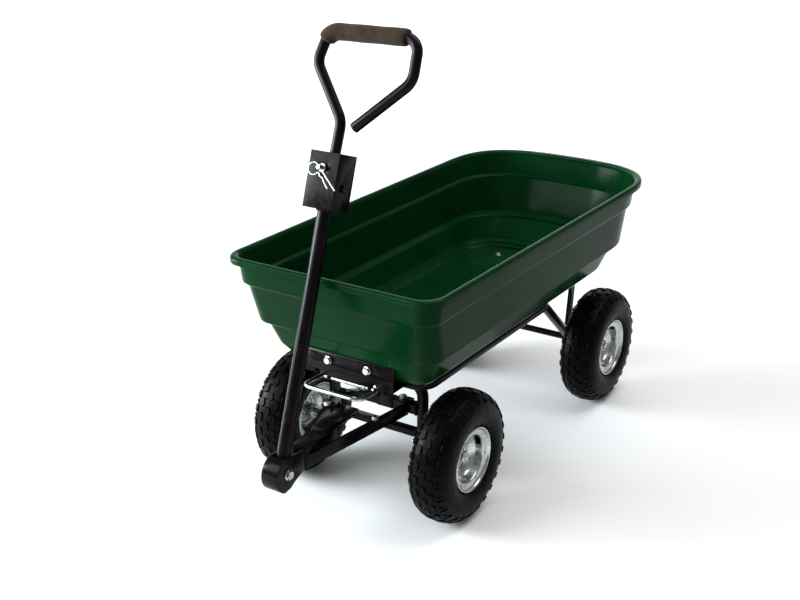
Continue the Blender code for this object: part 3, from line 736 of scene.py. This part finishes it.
def hub(prefix, body, centre, side):
    """The hub barrel and its seal lips."""
    inner, outer = 0.0290, 0.0105
    profile = [
        (-inner, 0.0086), (-inner, 0.0128), (-inner + 0.0012, 0.0146), (-0.0060, 0.0150), (0.0060, 0.0150),
        (outer - 0.0012, 0.0146), (outer, 0.0134), (outer, 0.0112), (outer - 0.0012, 0.0108),
        (outer - 0.0012, 0.0086),
    ]
    mesh = revolve(profile, Vector(), 48)
    mesh = sided(mesh, side)
    add(prefix + "_hub_barrel", mesh, "zinc", body, prefix + "_hub", at=Matrix.Translation(centre), sharp=30)


def wheels():
    """The four wheels, from tyre to axle nut."""
    for y, end in ((FRONT_Y, "front"), (REAR_Y, "rear")):
        for side, word in ((1, "right"), (-1, "left")):
            prefix, body = f"{end}_{word}", f"{end}_{word}_wheel"
            centre = Vector((side * HALF_TRACK, y, WHEEL_R))
            phase = math.radians(SLOT_TURN[end])
            tyre(prefix, body, centre)
            dish(prefix, body, "rim_outer", centre, side, phase)
            dish(prefix, body, "rim_inner", centre, -side, phase + math.pi / 2)
            wheel_bolts(prefix, body, centre, side)
            valve(prefix, body, centre, -side, phase + math.radians(208))
            hub(prefix, body, centre, side)
            NODES[prefix + "_inner_tube"].data.materials.clear()
            NODES[prefix + "_inner_tube"].data.materials.append(FINISHES["tube_rubber"])
            axle_body = "steering" if end == "front" else "chassis"
            seat = centre + Vector((side * 0.0130, 0, 0))
            turn = facing(seat, (side, 0, 0))
            nut = [
                moved(washer(0.0138, 0.0014), turn @ Matrix.Translation((0, 0, -0.0017))),
                moved(hexagon(0.0108, 0.0062, bore=0.0075), turn),
                moved(lathe_z([(0.0064, 0.0050), (0.0064, 0.0076), (0.0052, 0.0086)], 24), turn),
            ]
            add(prefix + "_axle_lock_nut", merged(*nut), "zinc", axle_body, prefix + "_axle_nut")


# ---------------------------------------------------------------- tub

FRONT_CORNER_R = 0.042
REAR_ARC_START = 0.628 + FRONT_Y
REAR_POWER = 2.9
TUB_FRONT_Y = FRONT_Y - 0.1735
# Each level of the wall: height, inset from the rim at the sides, front and rear, and the corner's rounding.
LEVELS = (
    (RIM_Z - 0.0130, SHEET, SHEET, SHEET, 0.0),
    (RIM_Z - 0.0045, SHEET, SHEET, SHEET, 0.0020),
    (RIM_Z - SHEET, 0.0055, 0.0055, 0.0055, 0.0016),
    (RIM_Z - SHEET, 0.0095, 0.0095, 0.0110, 0.0016),
    (0.4930, 0.0120, 0.0120, 0.0160, 0.0025),
    (0.4470, 0.0160, 0.0170, 0.0240, 0.0025),
    (0.4420, 0.0230, 0.0260, 0.0340, 0.0025),
    (0.3620, 0.0280, 0.0510, 0.0570, 0.0030),
    (0.3560, 0.0420, 0.0620, 0.0840, 0.0030),
    (0.3130, 0.0560, 0.0790, 0.1200, 0.0030),
    (0.3050, 0.0640, 0.0840, 0.1400, 0.0030),
    (0.2980, 0.0720, 0.0890, 0.1520, 0.0050),
    (FLOOR_Z, 0.0800, 0.0970, 0.1640, 0.0),
)


def tub_outline(z, side_in, front_in, rear_in):
    """One level of the tub: square at the front, round at the rear."""
    half = TUB_HALF_WIDTH - side_in
    front = TUB_FRONT_Y + front_in
    rear = HALF_LENGTH - rear_in
    corner = max(FRONT_CORNER_R - 0.25 * side_in, 0.02)
    start = REAR_ARC_START - 0.35 * rear_in
    points = [((half - corner) * t / 8, front) for t in range(9)]
    for i in range(1, 13):
        a = math.radians(-90 + 7.5 * i)
        points.append((half - corner + corner * math.cos(a), front + corner + corner * math.sin(a)))
    points += [(half, (front + corner) * (1 - t / 14) + start * t / 14) for t in range(1, 14)]
    for i in range(28):
        a = math.radians(90 * i / 28)
        across, along = math.cos(a) ** (2 / REAR_POWER), math.sin(a) ** (2 / REAR_POWER)
        points.append((half * across, start + (rear - start) * along))
    points.append((0.0, rear))
    other_side = [(-x, y) for x, y in reversed(points[1:-1])]
    return [Vector((x, y, z)) for x, y in points + other_side]


def wall_profile():
    """The levels with every corner rounded and the long runs divided."""
    levels = [Vector(level[:4]) for level in LEVELS]
    soft = [level[4] for level in LEVELS]
    made = [levels[0]]
    for i in range(1, len(levels) - 1):
        before, here, after = levels[i - 1], levels[i], levels[i + 1]
        into, out = here - before, after - here
        reach_in, reach_out = min(soft[i], into.length * 0.45), min(soft[i], out.length * 0.45)
        a, b = here - into.normalized() * reach_in, here + out.normalized() * reach_out
        run = a - made[-1]
        pieces = max(1, int(run.length / 0.010))
        made += [made[-1] + run * (k / pieces) for k in range(1, pieces)]
        for t in (0.0, 0.25, 0.5, 0.75, 1.0):
            made.append(a * (1 - t) ** 2 + here * 2 * t * (1 - t) + b * t * t)
    made.append(levels[-1])
    return made


def tub():
    """The moulded tub, with the slight waviness of its walls."""

    def build(bm):
        loops = []
        for level in wall_profile():
            loop = []
            for point in tub_outline(*level):
                outward = Vector((point.x, point.y, 0)).normalized()
                wave = noise.noise(point * 7.0) * 0.0007 if point.z < 0.488 else 0.0
                loop.append(bm.verts.new(point + outward * wave))
            loops.append(loop)
        for upper, lower in zip(loops, loops[1:]):
            for i in range(len(upper)):
                j = (i + 1) % len(upper)
                bm.faces.new((upper[i], lower[i], lower[j], upper[j]))
        bm.faces.new(loops[-1][::-1])

    bm = bmesh.new()
    build(bm)
    mesh = bpy.data.meshes.new("tub_skin")
    bm.to_mesh(mesh)
    bm.free()
    mesh = applied(mesh, ("SOLIDIFY", {"thickness": SHEET, "offset": -1, "use_even_offset": True}))
    made = add("tub_moulding", mesh, "tub_plastic", "tub", "tub", sharp=50)
    normals = made.modifiers.new("normals", "WEIGHTED_NORMAL")
    normals.keep_sharp = True
    normals.weight = 60


# ---------------------------------------------------------------- handle

STEM_R, GRIP_TUBE_R, GRIP_R = 0.0125, 0.0095, 0.0150


def grip_path():
    """The D grip's centre line, from its fold bolt round to its free end."""
    corners = [
        (0, 0, 0.494), (0.0030, 0, 0.618), (-0.0665, 0, 0.712), (-0.0520, 0, 0.7655), (0.1290, 0, 0.7685),
        (0.1300, 0, 0.697), (0.031, 0, 0.609),
    ]
    return rounded_path(corners, (0.040, 0.030, 0.030, 0.026, 0.035), 14)


def handle():
    """The stem, its foot, the hitch box and the D grip with its foam."""
    stem = sweep([(0, 0, 0.0190), (0, 0, 0.12), (0, 0, 0.3), (0, 0, 0.4850)], STEM_R, 40)
    add("handle_stem_tube", stem, "black_paint", "handle", "handle_stem", at=STEM)
    yoke = cad_copy("handle_yoke", 0.0011, 3)
    add("handle_yoke_pressing", yoke, "black_paint", "handle", "handle_yoke", sharp=32)
    box = cad_copy("hitch_box", 0.0013, 3)
    add("hitch_box_welded", box, "black_paint", "handle", "hitch_box", sharp=32)
    ring = circle(0.0135, 0.4635, 40)
    half_turn = [math.radians(25 + 130 * k / 12) for k in range(13)]
    low_ring = [(math.cos(a) * 0.0128, math.sin(a) * 0.0122, 0.0310) for a in half_turn]
    beads = merged(weld_bead(ring, 0.0022), weld_bead(low_ring, 0.0020, 3.0))
    add("handle_welds", beads, "black_paint", "handle", at=STEM, sharp=60)
    tube = sweep(grip_path(), GRIP_TUBE_R, 32, wall=0.0016, depth=0.030)
    hole = moved(lathe_z([(0.0045, -0.03), (0.0045, 0.03)], 24), facing(Vector((0, 0, FOLD_S)), (1, 0, 0)))
    add("d_grip_tube", carved(tube, hole), "black_paint", "d_grip", "d_handle", at=STEM)
    run = [point for point in grip_path() if point.z > 0.7475 and point.x < 0.11]
    fine = []
    for a, b in zip(run, run[1:]):
        count = max(1, int((b - a).length / 0.003))
        fine += [a.lerp(b, i / count) for i in range(count)]
    fine.append(run[-1])
    length = [0.0]
    for a, b in zip(fine, fine[1:]):
        length.append(length[-1] + (b - a).length)
    radii = []
    for s in length:
        edge = min(s, length[-1] - s)
        radii.append(GRIP_R - 0.0035 * math.exp(-edge / 0.0022) + 0.00025 * math.sin(s * 95))
    foam = sweep(fine, GRIP_R, 40, edge=0.0012, radii=radii)
    foam = add("grip_foam_sleeve", foam, "grip_foam", "d_grip", "grip", at=STEM)


def grip_hardware():
    """The fold bolt of the D grip and its nut."""
    at = facing(Vector((0.0303, 0, FOLD_S)), (1, 0, 0))
    head = merged(
        moved(hexagon(0.0066, 0.0048), at), moved(lathe_z([(0.0038, -0.036), (0.0038, 0.001)], 20), at)
    )
    shank = moved(
        lathe_z([(0.0040, -0.0360), (0.0040, 0.0300)], 20), facing(Vector((0, 0, FOLD_S)), (1, 0, 0))
    )
    add("fold_bolt_hex", merged(head, shank), "black_paint", "handle", "fold_bolt", at=STEM)
    at = facing(Vector((-0.0303, 0, FOLD_S)), (-1, 0, 0))
    add(
        "fold_lock_nut", moved(hexagon(0.0066, 0.0052, bore=0.0040), at),
        "black_paint", "handle", "fold_nut", at=STEM,
    )


def pin_and_clip():
    """The hitch pin and the R clip through it."""
    turn = facing(Vector((0, -GRIP_TUBE_R - 0.0004, PIN_S)), (0, -1, 0))
    length = 0.0420 - GRIP_TUBE_R - 0.0004
    shaft = lathe_z([(0.0030, 0.0), (0.0045, 0.0018), (0.0045, length - 0.0015), (0.0034, length)], 28)
    swage = [
        (0.0046, 0.0172), (0.0070, 0.0174), (0.0076, 0.0182), (0.0076, 0.0196),
        (0.0068, 0.0203), (0.0046, 0.0204),
    ]
    collar = lathe_z(swage, 32)
    add("hitch_pin_turned", moved(merged(shaft, collar), turn), "zinc", "hitch_pin", "hitch_pin", at=STEM)
    slope = Vector((0.74, 0, -0.67)).normalized()
    aside = Vector((slope.z, 0, -slope.x))
    eye = Vector((0, -0.0365, PIN_S))
    ring = []
    for i in range(29):
        a = math.radians(280 * i / 28)
        ring.append((-0.0060 - 0.0105 * math.sin(a), 0.0105 - 0.0105 * math.cos(a)))
    knots = [
        ring[-1], (0.0075, 0.0068), (0.0130, 0.0082), (0.0190, 0.0062), (0.0260, 0.0080), (0.0400, 0.0095)
    ]
    wave = [tuple(p) for p in catmull(knots, 6)][1:]
    route = [(0.0520, 0), (0.0300, 0), (0.0100, 0), (-0.0030, 0)] + ring + wave
    clip = sweep([eye + slope * along + aside * out for along, out in route], 0.0012, 12, edge=0.0004)
    add("r_clip_wire", clip, "zinc", "r_clip", "r_clip", at=STEM, sharp=60)


def pivot_hardware():
    """The bolt and nut of the handle's pivot."""
    seat = Vector((0.0173, PIVOT.y, PIVOT.z))
    at = facing(seat, (1, 0, 0))
    shank = moved(lathe_z([(0.0050, 0.0), (0.0050, 0.0420)], 24), facing(seat, (-1, 0, 0)))
    bolt = merged(
        moved(washer(0.0095, 0.0010), at),
        moved(hexagon(0.0074, 0.0050), at @ Matrix.Translation((0, 0, 0.0008))),
        shank,
    )
    add("pivot_bolt_hex", bolt, "zinc", "handle", "pivot_bolt")
    at = facing(Vector((-0.0173, PIVOT.y, PIVOT.z)), (-1, 0, 0))
    add("pivot_lock_nut", moved(hexagon(0.0074, 0.0060, bore=0.0050), at), "zinc", "handle", "pivot_nut")


# ---------------------------------------------------------------- steered axle and tongue

POST_X, HOOP_TOP, TUBE_R = 0.1025, 0.2555, 0.011
UPPER_BEAM, LOWER_BEAM, BEAM_HALF = (0.193, 0.214), (0.1455, 0.1585), 0.010
HEAD_LOW, HEAD_HIGH = 0.2716, 0.2912


def axle_hoop():
    """The steered hoop with its two beams and the pad it turns on."""
    corners = [
        (-POST_X, FRONT_Y, 0.117), (-POST_X, FRONT_Y, HOOP_TOP), (POST_X, FRONT_Y, HOOP_TOP),
        (POST_X, FRONT_Y, 0.117),
    ]
    hoop = sweep(rounded_path(corners, (0.026, 0.026), 10), TUBE_R, 32, wall=0.0018)
    inner = POST_X - TUBE_R * 0.9
    beams = [
        block((-inner, FRONT_Y - BEAM_HALF, low), (inner, FRONT_Y + BEAM_HALF, high), 0.0022, 3)
        for low, high in (UPPER_BEAM, LOWER_BEAM)
    ]
    pad = block((-0.040, FRONT_Y - 0.028, 0.2625), (0.040, FRONT_Y + 0.028, 0.2680), 0.0012)
    add("axle_hoop_tube", merged(hoop, *beams, pad), "black_paint", "steering", "axle_hoop")
    beads = []
    for side in (1, -1):
        for low, high in (UPPER_BEAM, LOWER_BEAM):
            x = side * (inner - 0.0005)
            y_front, y_back = FRONT_Y - BEAM_HALF, FRONT_Y + BEAM_HALF
            loop = [
                (x, y_front, low), (x, y_front, high), (x, y_back, high),
                (x, y_back, low), (x, y_front, low),
            ]
            beads.append(weld_bead(loop, 0.0018, side + low))
    pad_line = [(x, FRONT_Y - TUBE_R * 0.86, 0.2612) for x in (-0.036, 0.036)]
    beads.append(weld_bead(pad_line, 0.0018, 5.0))
    add("axle_hoop_welds", merged(*beads), "black_paint", "steering", sharp=60)


def stub_axles():
    """The front stub axles and the rear axle."""
    for side, word in ((1, "right"), (-1, "left")):
        inner = side * (POST_X - TUBE_R - 0.004)
        outer = side * (HALF_TRACK + 0.0205)
        rod = sweep([(inner, FRONT_Y, WHEEL_R), (outer, FRONT_Y, WHEEL_R)], 0.0075, 28, edge=0.0010)
        collar = sweep(
            [(inner - side * 0.004, FRONT_Y, WHEEL_R), (inner + side * 0.0005, FRONT_Y, WHEEL_R)],
            0.0090, 28,
        )
        add(f"stub_axle_{word}_turned", merged(rod, collar), "zinc", "steering", f"stub_axle_{word}")
    rear = sweep([(-0.2005, REAR_Y, WHEEL_R), (0.2005, REAR_Y, WHEEL_R)], 0.0075, 28, edge=0.0010)
    add("rear_axle_turned", rear, "black_paint", "chassis", "rear_axle")


def bolt_set(name, node, body, seat, direction, across, head, shank_r, shank, nut=True):
    """A hex bolt with its washers and, at its far end, a nut on the shank."""
    seat, direction = Vector(seat), Vector(direction).normalized()
    up = facing(seat, -direction)
    parts = [
        moved(washer(across * 1.30, 0.0010), up),
        moved(hexagon(across, head), up @ Matrix.Translation((0, 0, 0.0010))),
        moved(lathe_z([(shank_r, 0.0), (shank_r, shank - 0.004)], 20), facing(seat, direction)),
        moved(threaded(shank_r, 0.004), facing(seat + direction * (shank - 0.0048), direction)),
    ]
    if nut:
        far = seat + direction * (shank - 0.0075)
        parts.append(
            moved(
                hexagon(across * 0.97, across * 0.85, bore=shank_r),
                facing(far - direction * 0.002, direction),
            )
        )
    add(name, merged(*parts), "zinc", body, node)


ARM_BOLT = Vector((0.0553, FRONT_Y - 0.0900, 0.2090))
ARM_EAR_LOW, ARM_EAR_HIGH = Vector((-0.0090, -0.0090, -0.0022)), Vector((0.0090, 0.0090, 0.0004))


def tongue():
    """The welded tongue and the bolts on its arms."""
    add("tongue_weldment", cad_copy("tongue", 0.0008, 2), "black_paint", "steering", "tongue", sharp=32)
    beads = []
    for side in (1, -1):
        near = Vector((side * 0.0178, FRONT_Y - 0.2485, 0.1935))
        far = Vector((side * 0.0300, FRONT_Y - 0.2000, 0.1975))
        beads.append(weld_bead([near, near.lerp(far, 0.5)], 0.0016, side))
    add("tongue_welds", merged(*beads), "black_paint", "steering", sharp=60)
    for side, word in ((1, "right"), (-1, "left")):
        bolt_set(
            f"tongue_bolt_{word}_hex", f"tongue_bolt_{word}", "steering",
            (side * 0.060, FRONT_Y - 0.001, UPPER_BEAM[1] + 0.0036),
            (0, 0, -1), 0.0062, 0.0050, 0.0040, 0.030,
        )
        place = Vector((side * ARM_BOLT.x, ARM_BOLT.y, ARM_BOLT.z))
        ear = block(place + ARM_EAR_LOW, place + ARM_EAR_HIGH, 0.0006)
        add(f"arm_bolt_ear_{word}", ear, "black_paint", "steering")
        top = facing(place, (0, 0, 1))
        head = moved(hexagon(0.0058, 0.0046), top @ Matrix.Translation((0, 0, 0.0010)))
        add(f"arm_rivet_bolt_{word}", merged(moved(washer(0.0076, 0.0010), top), head), "zinc", "steering")


def kingpin():
    """The pin that the front axle steers on."""
    bolt_set(
        "kingpin_hex", "kingpin_bolt", "chassis", (0, FRONT_Y, HEAD_HIGH - 0.0072),
        (0, 0, -1), 0.0088, 0.0052, 0.0060, 0.0560, nut=False,
    )
    at = facing(Vector((0, FRONT_Y, 0.2345)), (0, 0, 1))
    add("kingpin_lock_nut", moved(hexagon(0.0091, 0.0095, bore=0.0062), at), "zinc", "chassis", "kingpin_nut")
    NODES["thrust_washer"].data.materials.clear()
    NODES["thrust_washer"].data.materials.append(FINISHES["zinc"])
    NODES["thrust_washer"].modifiers.new("edge", "BEVEL").width = 0.0004


# ---------------------------------------------------------------- chassis

RAIL_X, RAIL_Z, STRUT_X = 0.140, 0.2808, 0.112


def chassis():
    """Rails, head bar, cross bar, hinge cheeks, catch straps, welds and the hinge rod."""
    half = [
        (STRUT_X, REAR_Y - 0.006, 0.136), (RAIL_X, FRONT_Y + 0.425, RAIL_Z),
        (RAIL_X, FRONT_Y - 0.052, RAIL_Z),
    ]
    corners = half + [(-x, y, z) for x, y, z in reversed(half)]
    rails = sweep(rounded_path(corners, (0.045, 0.030, 0.030, 0.045), 10), 0.0105, 32, wall=0.0018)
    head = block((-RAIL_X, FRONT_Y - 0.022, HEAD_LOW), (RAIL_X, FRONT_Y + 0.022, HEAD_HIGH), 0.0020, 3)
    bore = moved(lathe_z([(0.0063, 0.25), (0.0063, 0.31)], 32), Matrix.Translation((0, FRONT_Y, 0)))
    sink = moved(
        lathe_z([(0.0125, HEAD_HIGH - 0.0075), (0.0125, 0.31)], 32), Matrix.Translation((0, FRONT_Y, 0))
    )
    head = carved(head, bore, sink)
    parts = [
        rails, head,
        block((-0.075, FRONT_Y - 0.080, HEAD_LOW), (0.075, FRONT_Y - 0.021, 0.2756), 0.0008),
        block(
            (-RAIL_X, FRONT_Y + 0.391, RAIL_Z - 0.0088), (RAIL_X, FRONT_Y + 0.4145, RAIL_Z + 0.0088),
            0.0020, 3,
        ),
    ]
    for side in (1, -1):
        outline = [(REAR_Y - 0.013, 0.119), (REAR_Y + 0.013, 0.119), (HINGE.y + 0.0105, HINGE.z - 0.02)]
        outline += arc((HINGE.y, HINGE.z), 0.0105, 0, 180, 20)
        cheek = plate(outline, *sorted(side * x for x in (0.100, 0.106)))
        holes = [
            moved(lathe_z([(r, -0.02), (r, 0.02)], 32), facing(Vector((side * 0.103, y, z)), (1, 0, 0)))
            for r, y, z in ((0.0053, HINGE.y, HINGE.z), (0.0078, REAR_Y, WHEEL_R))
        ]
        parts.append(carved(cheek, *holes))
    add("chassis_weldment", merged(*parts), "black_paint", "chassis", "chassis_frame")
    straps = []
    for side in (1, -1):
        straps.append(
            block(
                (side * 0.054 - 0.014, FRONT_Y - 0.0515, 0.2175),
                (side * 0.054 + 0.014, FRONT_Y - 0.0485, HEAD_LOW + 0.001),
                0.0008,
            )
        )
        low_x, high_x = side * 0.042 - 0.009, side * 0.042 + 0.009
        straps.append(block((low_x, FRONT_Y - 0.0515, 0.2175), (high_x, FRONT_Y - 0.0365, 0.2205), 0.0005))
    add("catch_straps", merged(*straps), "black_paint", "chassis", "chassis_frame")
    beads = []
    for side in (1, -1):
        for y in (FRONT_Y - 0.0225, FRONT_Y + 0.0225):
            line = [
                (side * (RAIL_X - 0.012), y, HEAD_LOW + 0.002),
                (side * (RAIL_X - 0.012), y, HEAD_HIGH - 0.002),
            ]
            beads.append(weld_bead(line, 0.0018, y))
        beads.append(
            weld_bead(
                [(side * 0.1085, REAR_Y - 0.016, 0.1500), (side * 0.1085, REAR_Y - 0.024, 0.1640)],
                0.0022, side,
            )
        )
    add("chassis_welds", merged(*beads), "black_paint", "chassis", sharp=60)
    rod = sweep([(-0.112, HINGE.y, HINGE.z), (0.112, HINGE.y, HINGE.z)], 0.0050, 24, edge=0.0008)
    add("hinge_rod_turned", rod, "zinc", "chassis", "hinge_rod")


# ---------------------------------------------------------------- under the tub


def under_tub():
    """What is bolted to the tub: hinge bracket, crossbar, release bail and spring."""
    add(
        "hinge_bracket_pressing", cad_copy("hinge_bracket", 0.0006, 2),
        "black_paint", "tub", "hinge_bracket", sharp=32,
    )
    for side, word in ((1, "right"), (-1, "left")):
        bolt_set(
            f"floor_bolt_{word}_hex", f"floor_bolt_{word}", "tub",
            (side * 0.080, REAR_Y - 0.003, FLOOR_Z + SHEET + 0.0003),
            (0, 0, -1), 0.0062, 0.0036, 0.0031, 0.0120, nut=False,
        )
    add(
        "latch_crossbar_folded", cad_copy("latch_crossbar", 0.0012, 3),
        "black_paint", "tub", "latch_crossbar", sharp=32,
    )
    back = FRONT_Y - 0.1031
    for x, word in ((0.048, "right"), (-0.039, "left")):
        bolt_set(
            f"crossbar_bolt_{word}_hex", f"crossbar_bolt_{word}", "tub", (x, back - 0.0022, 0.3115),
            (0, 1, 0), 0.0062, 0.0050, 0.0040, 0.0200, nut=False,
        )
    reach = FRONT_Y - 0.154 - BAIL.y
    loop = [(0.0625, 0, 0), (0.0625, reach, 0.0045), (-0.0625, reach, 0.0045), (-0.0625, 0, 0), (0.030, 0, 0)]
    path = rounded_path([(-0.030, 0, 0)] + loop[:4], (0.010, 0.016, 0.016), 10)
    at = Matrix.Translation(BAIL)
    wire = sweep(path, 0.0040, 24)
    axle = sweep([(-0.0640, 0, 0), (0.0600, 0, 0)], 0.0035, 24)
    hook = [
        (-0.0020, 0.001), (-0.0020, -0.0130), (0.0110, -0.0130), (0.0110, -0.0100),
        (0.0015, -0.0100), (0.0015, 0.001),
    ]
    add(
        "release_bail_wire", merged(wire, axle, plate(hook, -0.020, 0.020)),
        "zinc", "release", "release_bail", at=at,
    )
    coil = []
    for i in range(4 * 20 + 1):
        a = 2 * math.pi * i / 20
        coil.append((0.026 + 0.0026 * i / 20, 0.0054 * math.cos(a), 0.0054 * math.sin(a)))
    add(
        "latch_spring_coil", sweep(coil, 0.0009, 10, edge=0.0002),
        "zinc", "tub", "latch_spring", at=at, sharp=60,
    )


# ---------------------------------------------------------------- stage


def light(name, place, target, size, power, color=(1, 1, 1), size_y=None):
    """An area light aimed at a target."""
    data = bpy.data.lights.new(name, "AREA")
    data.shape = "RECTANGLE"
    data.size, data.size_y = size, size_y or size
    data.energy = power
    data.color = color
    obj = bpy.data.objects.new(name, data)
    obj.location = place
    obj.rotation_euler = (Vector(target) - Vector(place)).to_track_quat("-Z", "Y").to_euler()
    bpy.context.scene.collection.objects.link(obj)
    return obj


VIEW_BEARING = math.radians(33.08)


def stage():
    """The pale floor that curves up behind, the lights and the camera."""

    def build(bm):
        steps, reach, back, bend_r, height = 24, 6.0, 4.5, 1.5, 5.0
        quarter = [math.radians(90 * k / steps) for k in range(steps + 1)]
        bend = [(back - bend_r + bend_r * math.sin(a), bend_r - bend_r * math.cos(a)) for a in quarter]
        rows = [(-reach, 0.0), *bend, (back, height)]
        lines = [[bm.verts.new((x, y, z)) for x in (-reach, 0.0, reach)] for y, z in rows]
        for low, high in zip(lines, lines[1:]):
            for k in range(2):
                bm.faces.new((low[k], low[k + 1], high[k + 1], high[k]))

    mesh = to_mesh(build)
    mesh.shade_smooth()
    mesh.materials.append(floor_paint())
    floor = bpy.data.objects.new("studio_sweep", mesh)
    bpy.context.scene.collection.objects.link(floor)
    floor.rotation_euler = (0, 0, VIEW_BEARING)

    world = bpy.data.worlds.new("studio_air")
    world.use_nodes = True
    world.node_tree.nodes["Background"].inputs["Color"].default_value = (1.0, 1.0, 1.0, 1)
    world.node_tree.nodes["Background"].inputs["Strength"].default_value = 0.30
    bpy.context.scene.world = world
    light("soft_top", (0.6, 0.8, 3.2), (0, 0.2, 0.3), 2.6, 82)
    light("window_left", (-2.75, -1.60, 1.05), (0.1, 0.2, 0.40), 1.8, 230, (0.86, 0.94, 1.0), 1.3)
    light("window_front", (-1.05, -1.75, 1.55), (0.1, 0.5, 0.40), 1.1, 34, (0.93, 0.97, 1.0), 1.4)
    light("back_wall", (-1.2, 2.2, 2.6), (-2.4, 4.2, 0.9), 2.0, 60)

    data = bpy.data.cameras.new("photo_view")
    data.lens, data.sensor_width = 55.1, 36.0
    camera = bpy.data.objects.new("photo_view", data)
    camera.location = (1.2011, -2.0086, 1.2451)
    camera.rotation_euler = (math.radians(68.51), 0, VIEW_BEARING)
    bpy.context.scene.collection.objects.link(camera)
    bpy.context.scene.camera = camera
    bpy.context.scene.view_settings.view_transform = "Standard"


wheels()
tub()
handle()
grip_hardware()
pin_and_clip()
pivot_hardware()
axle_hoop()
stub_axles()
tongue()
kingpin()
chassis()
under_tub()
stage()

bpy.context.view_layer.update()
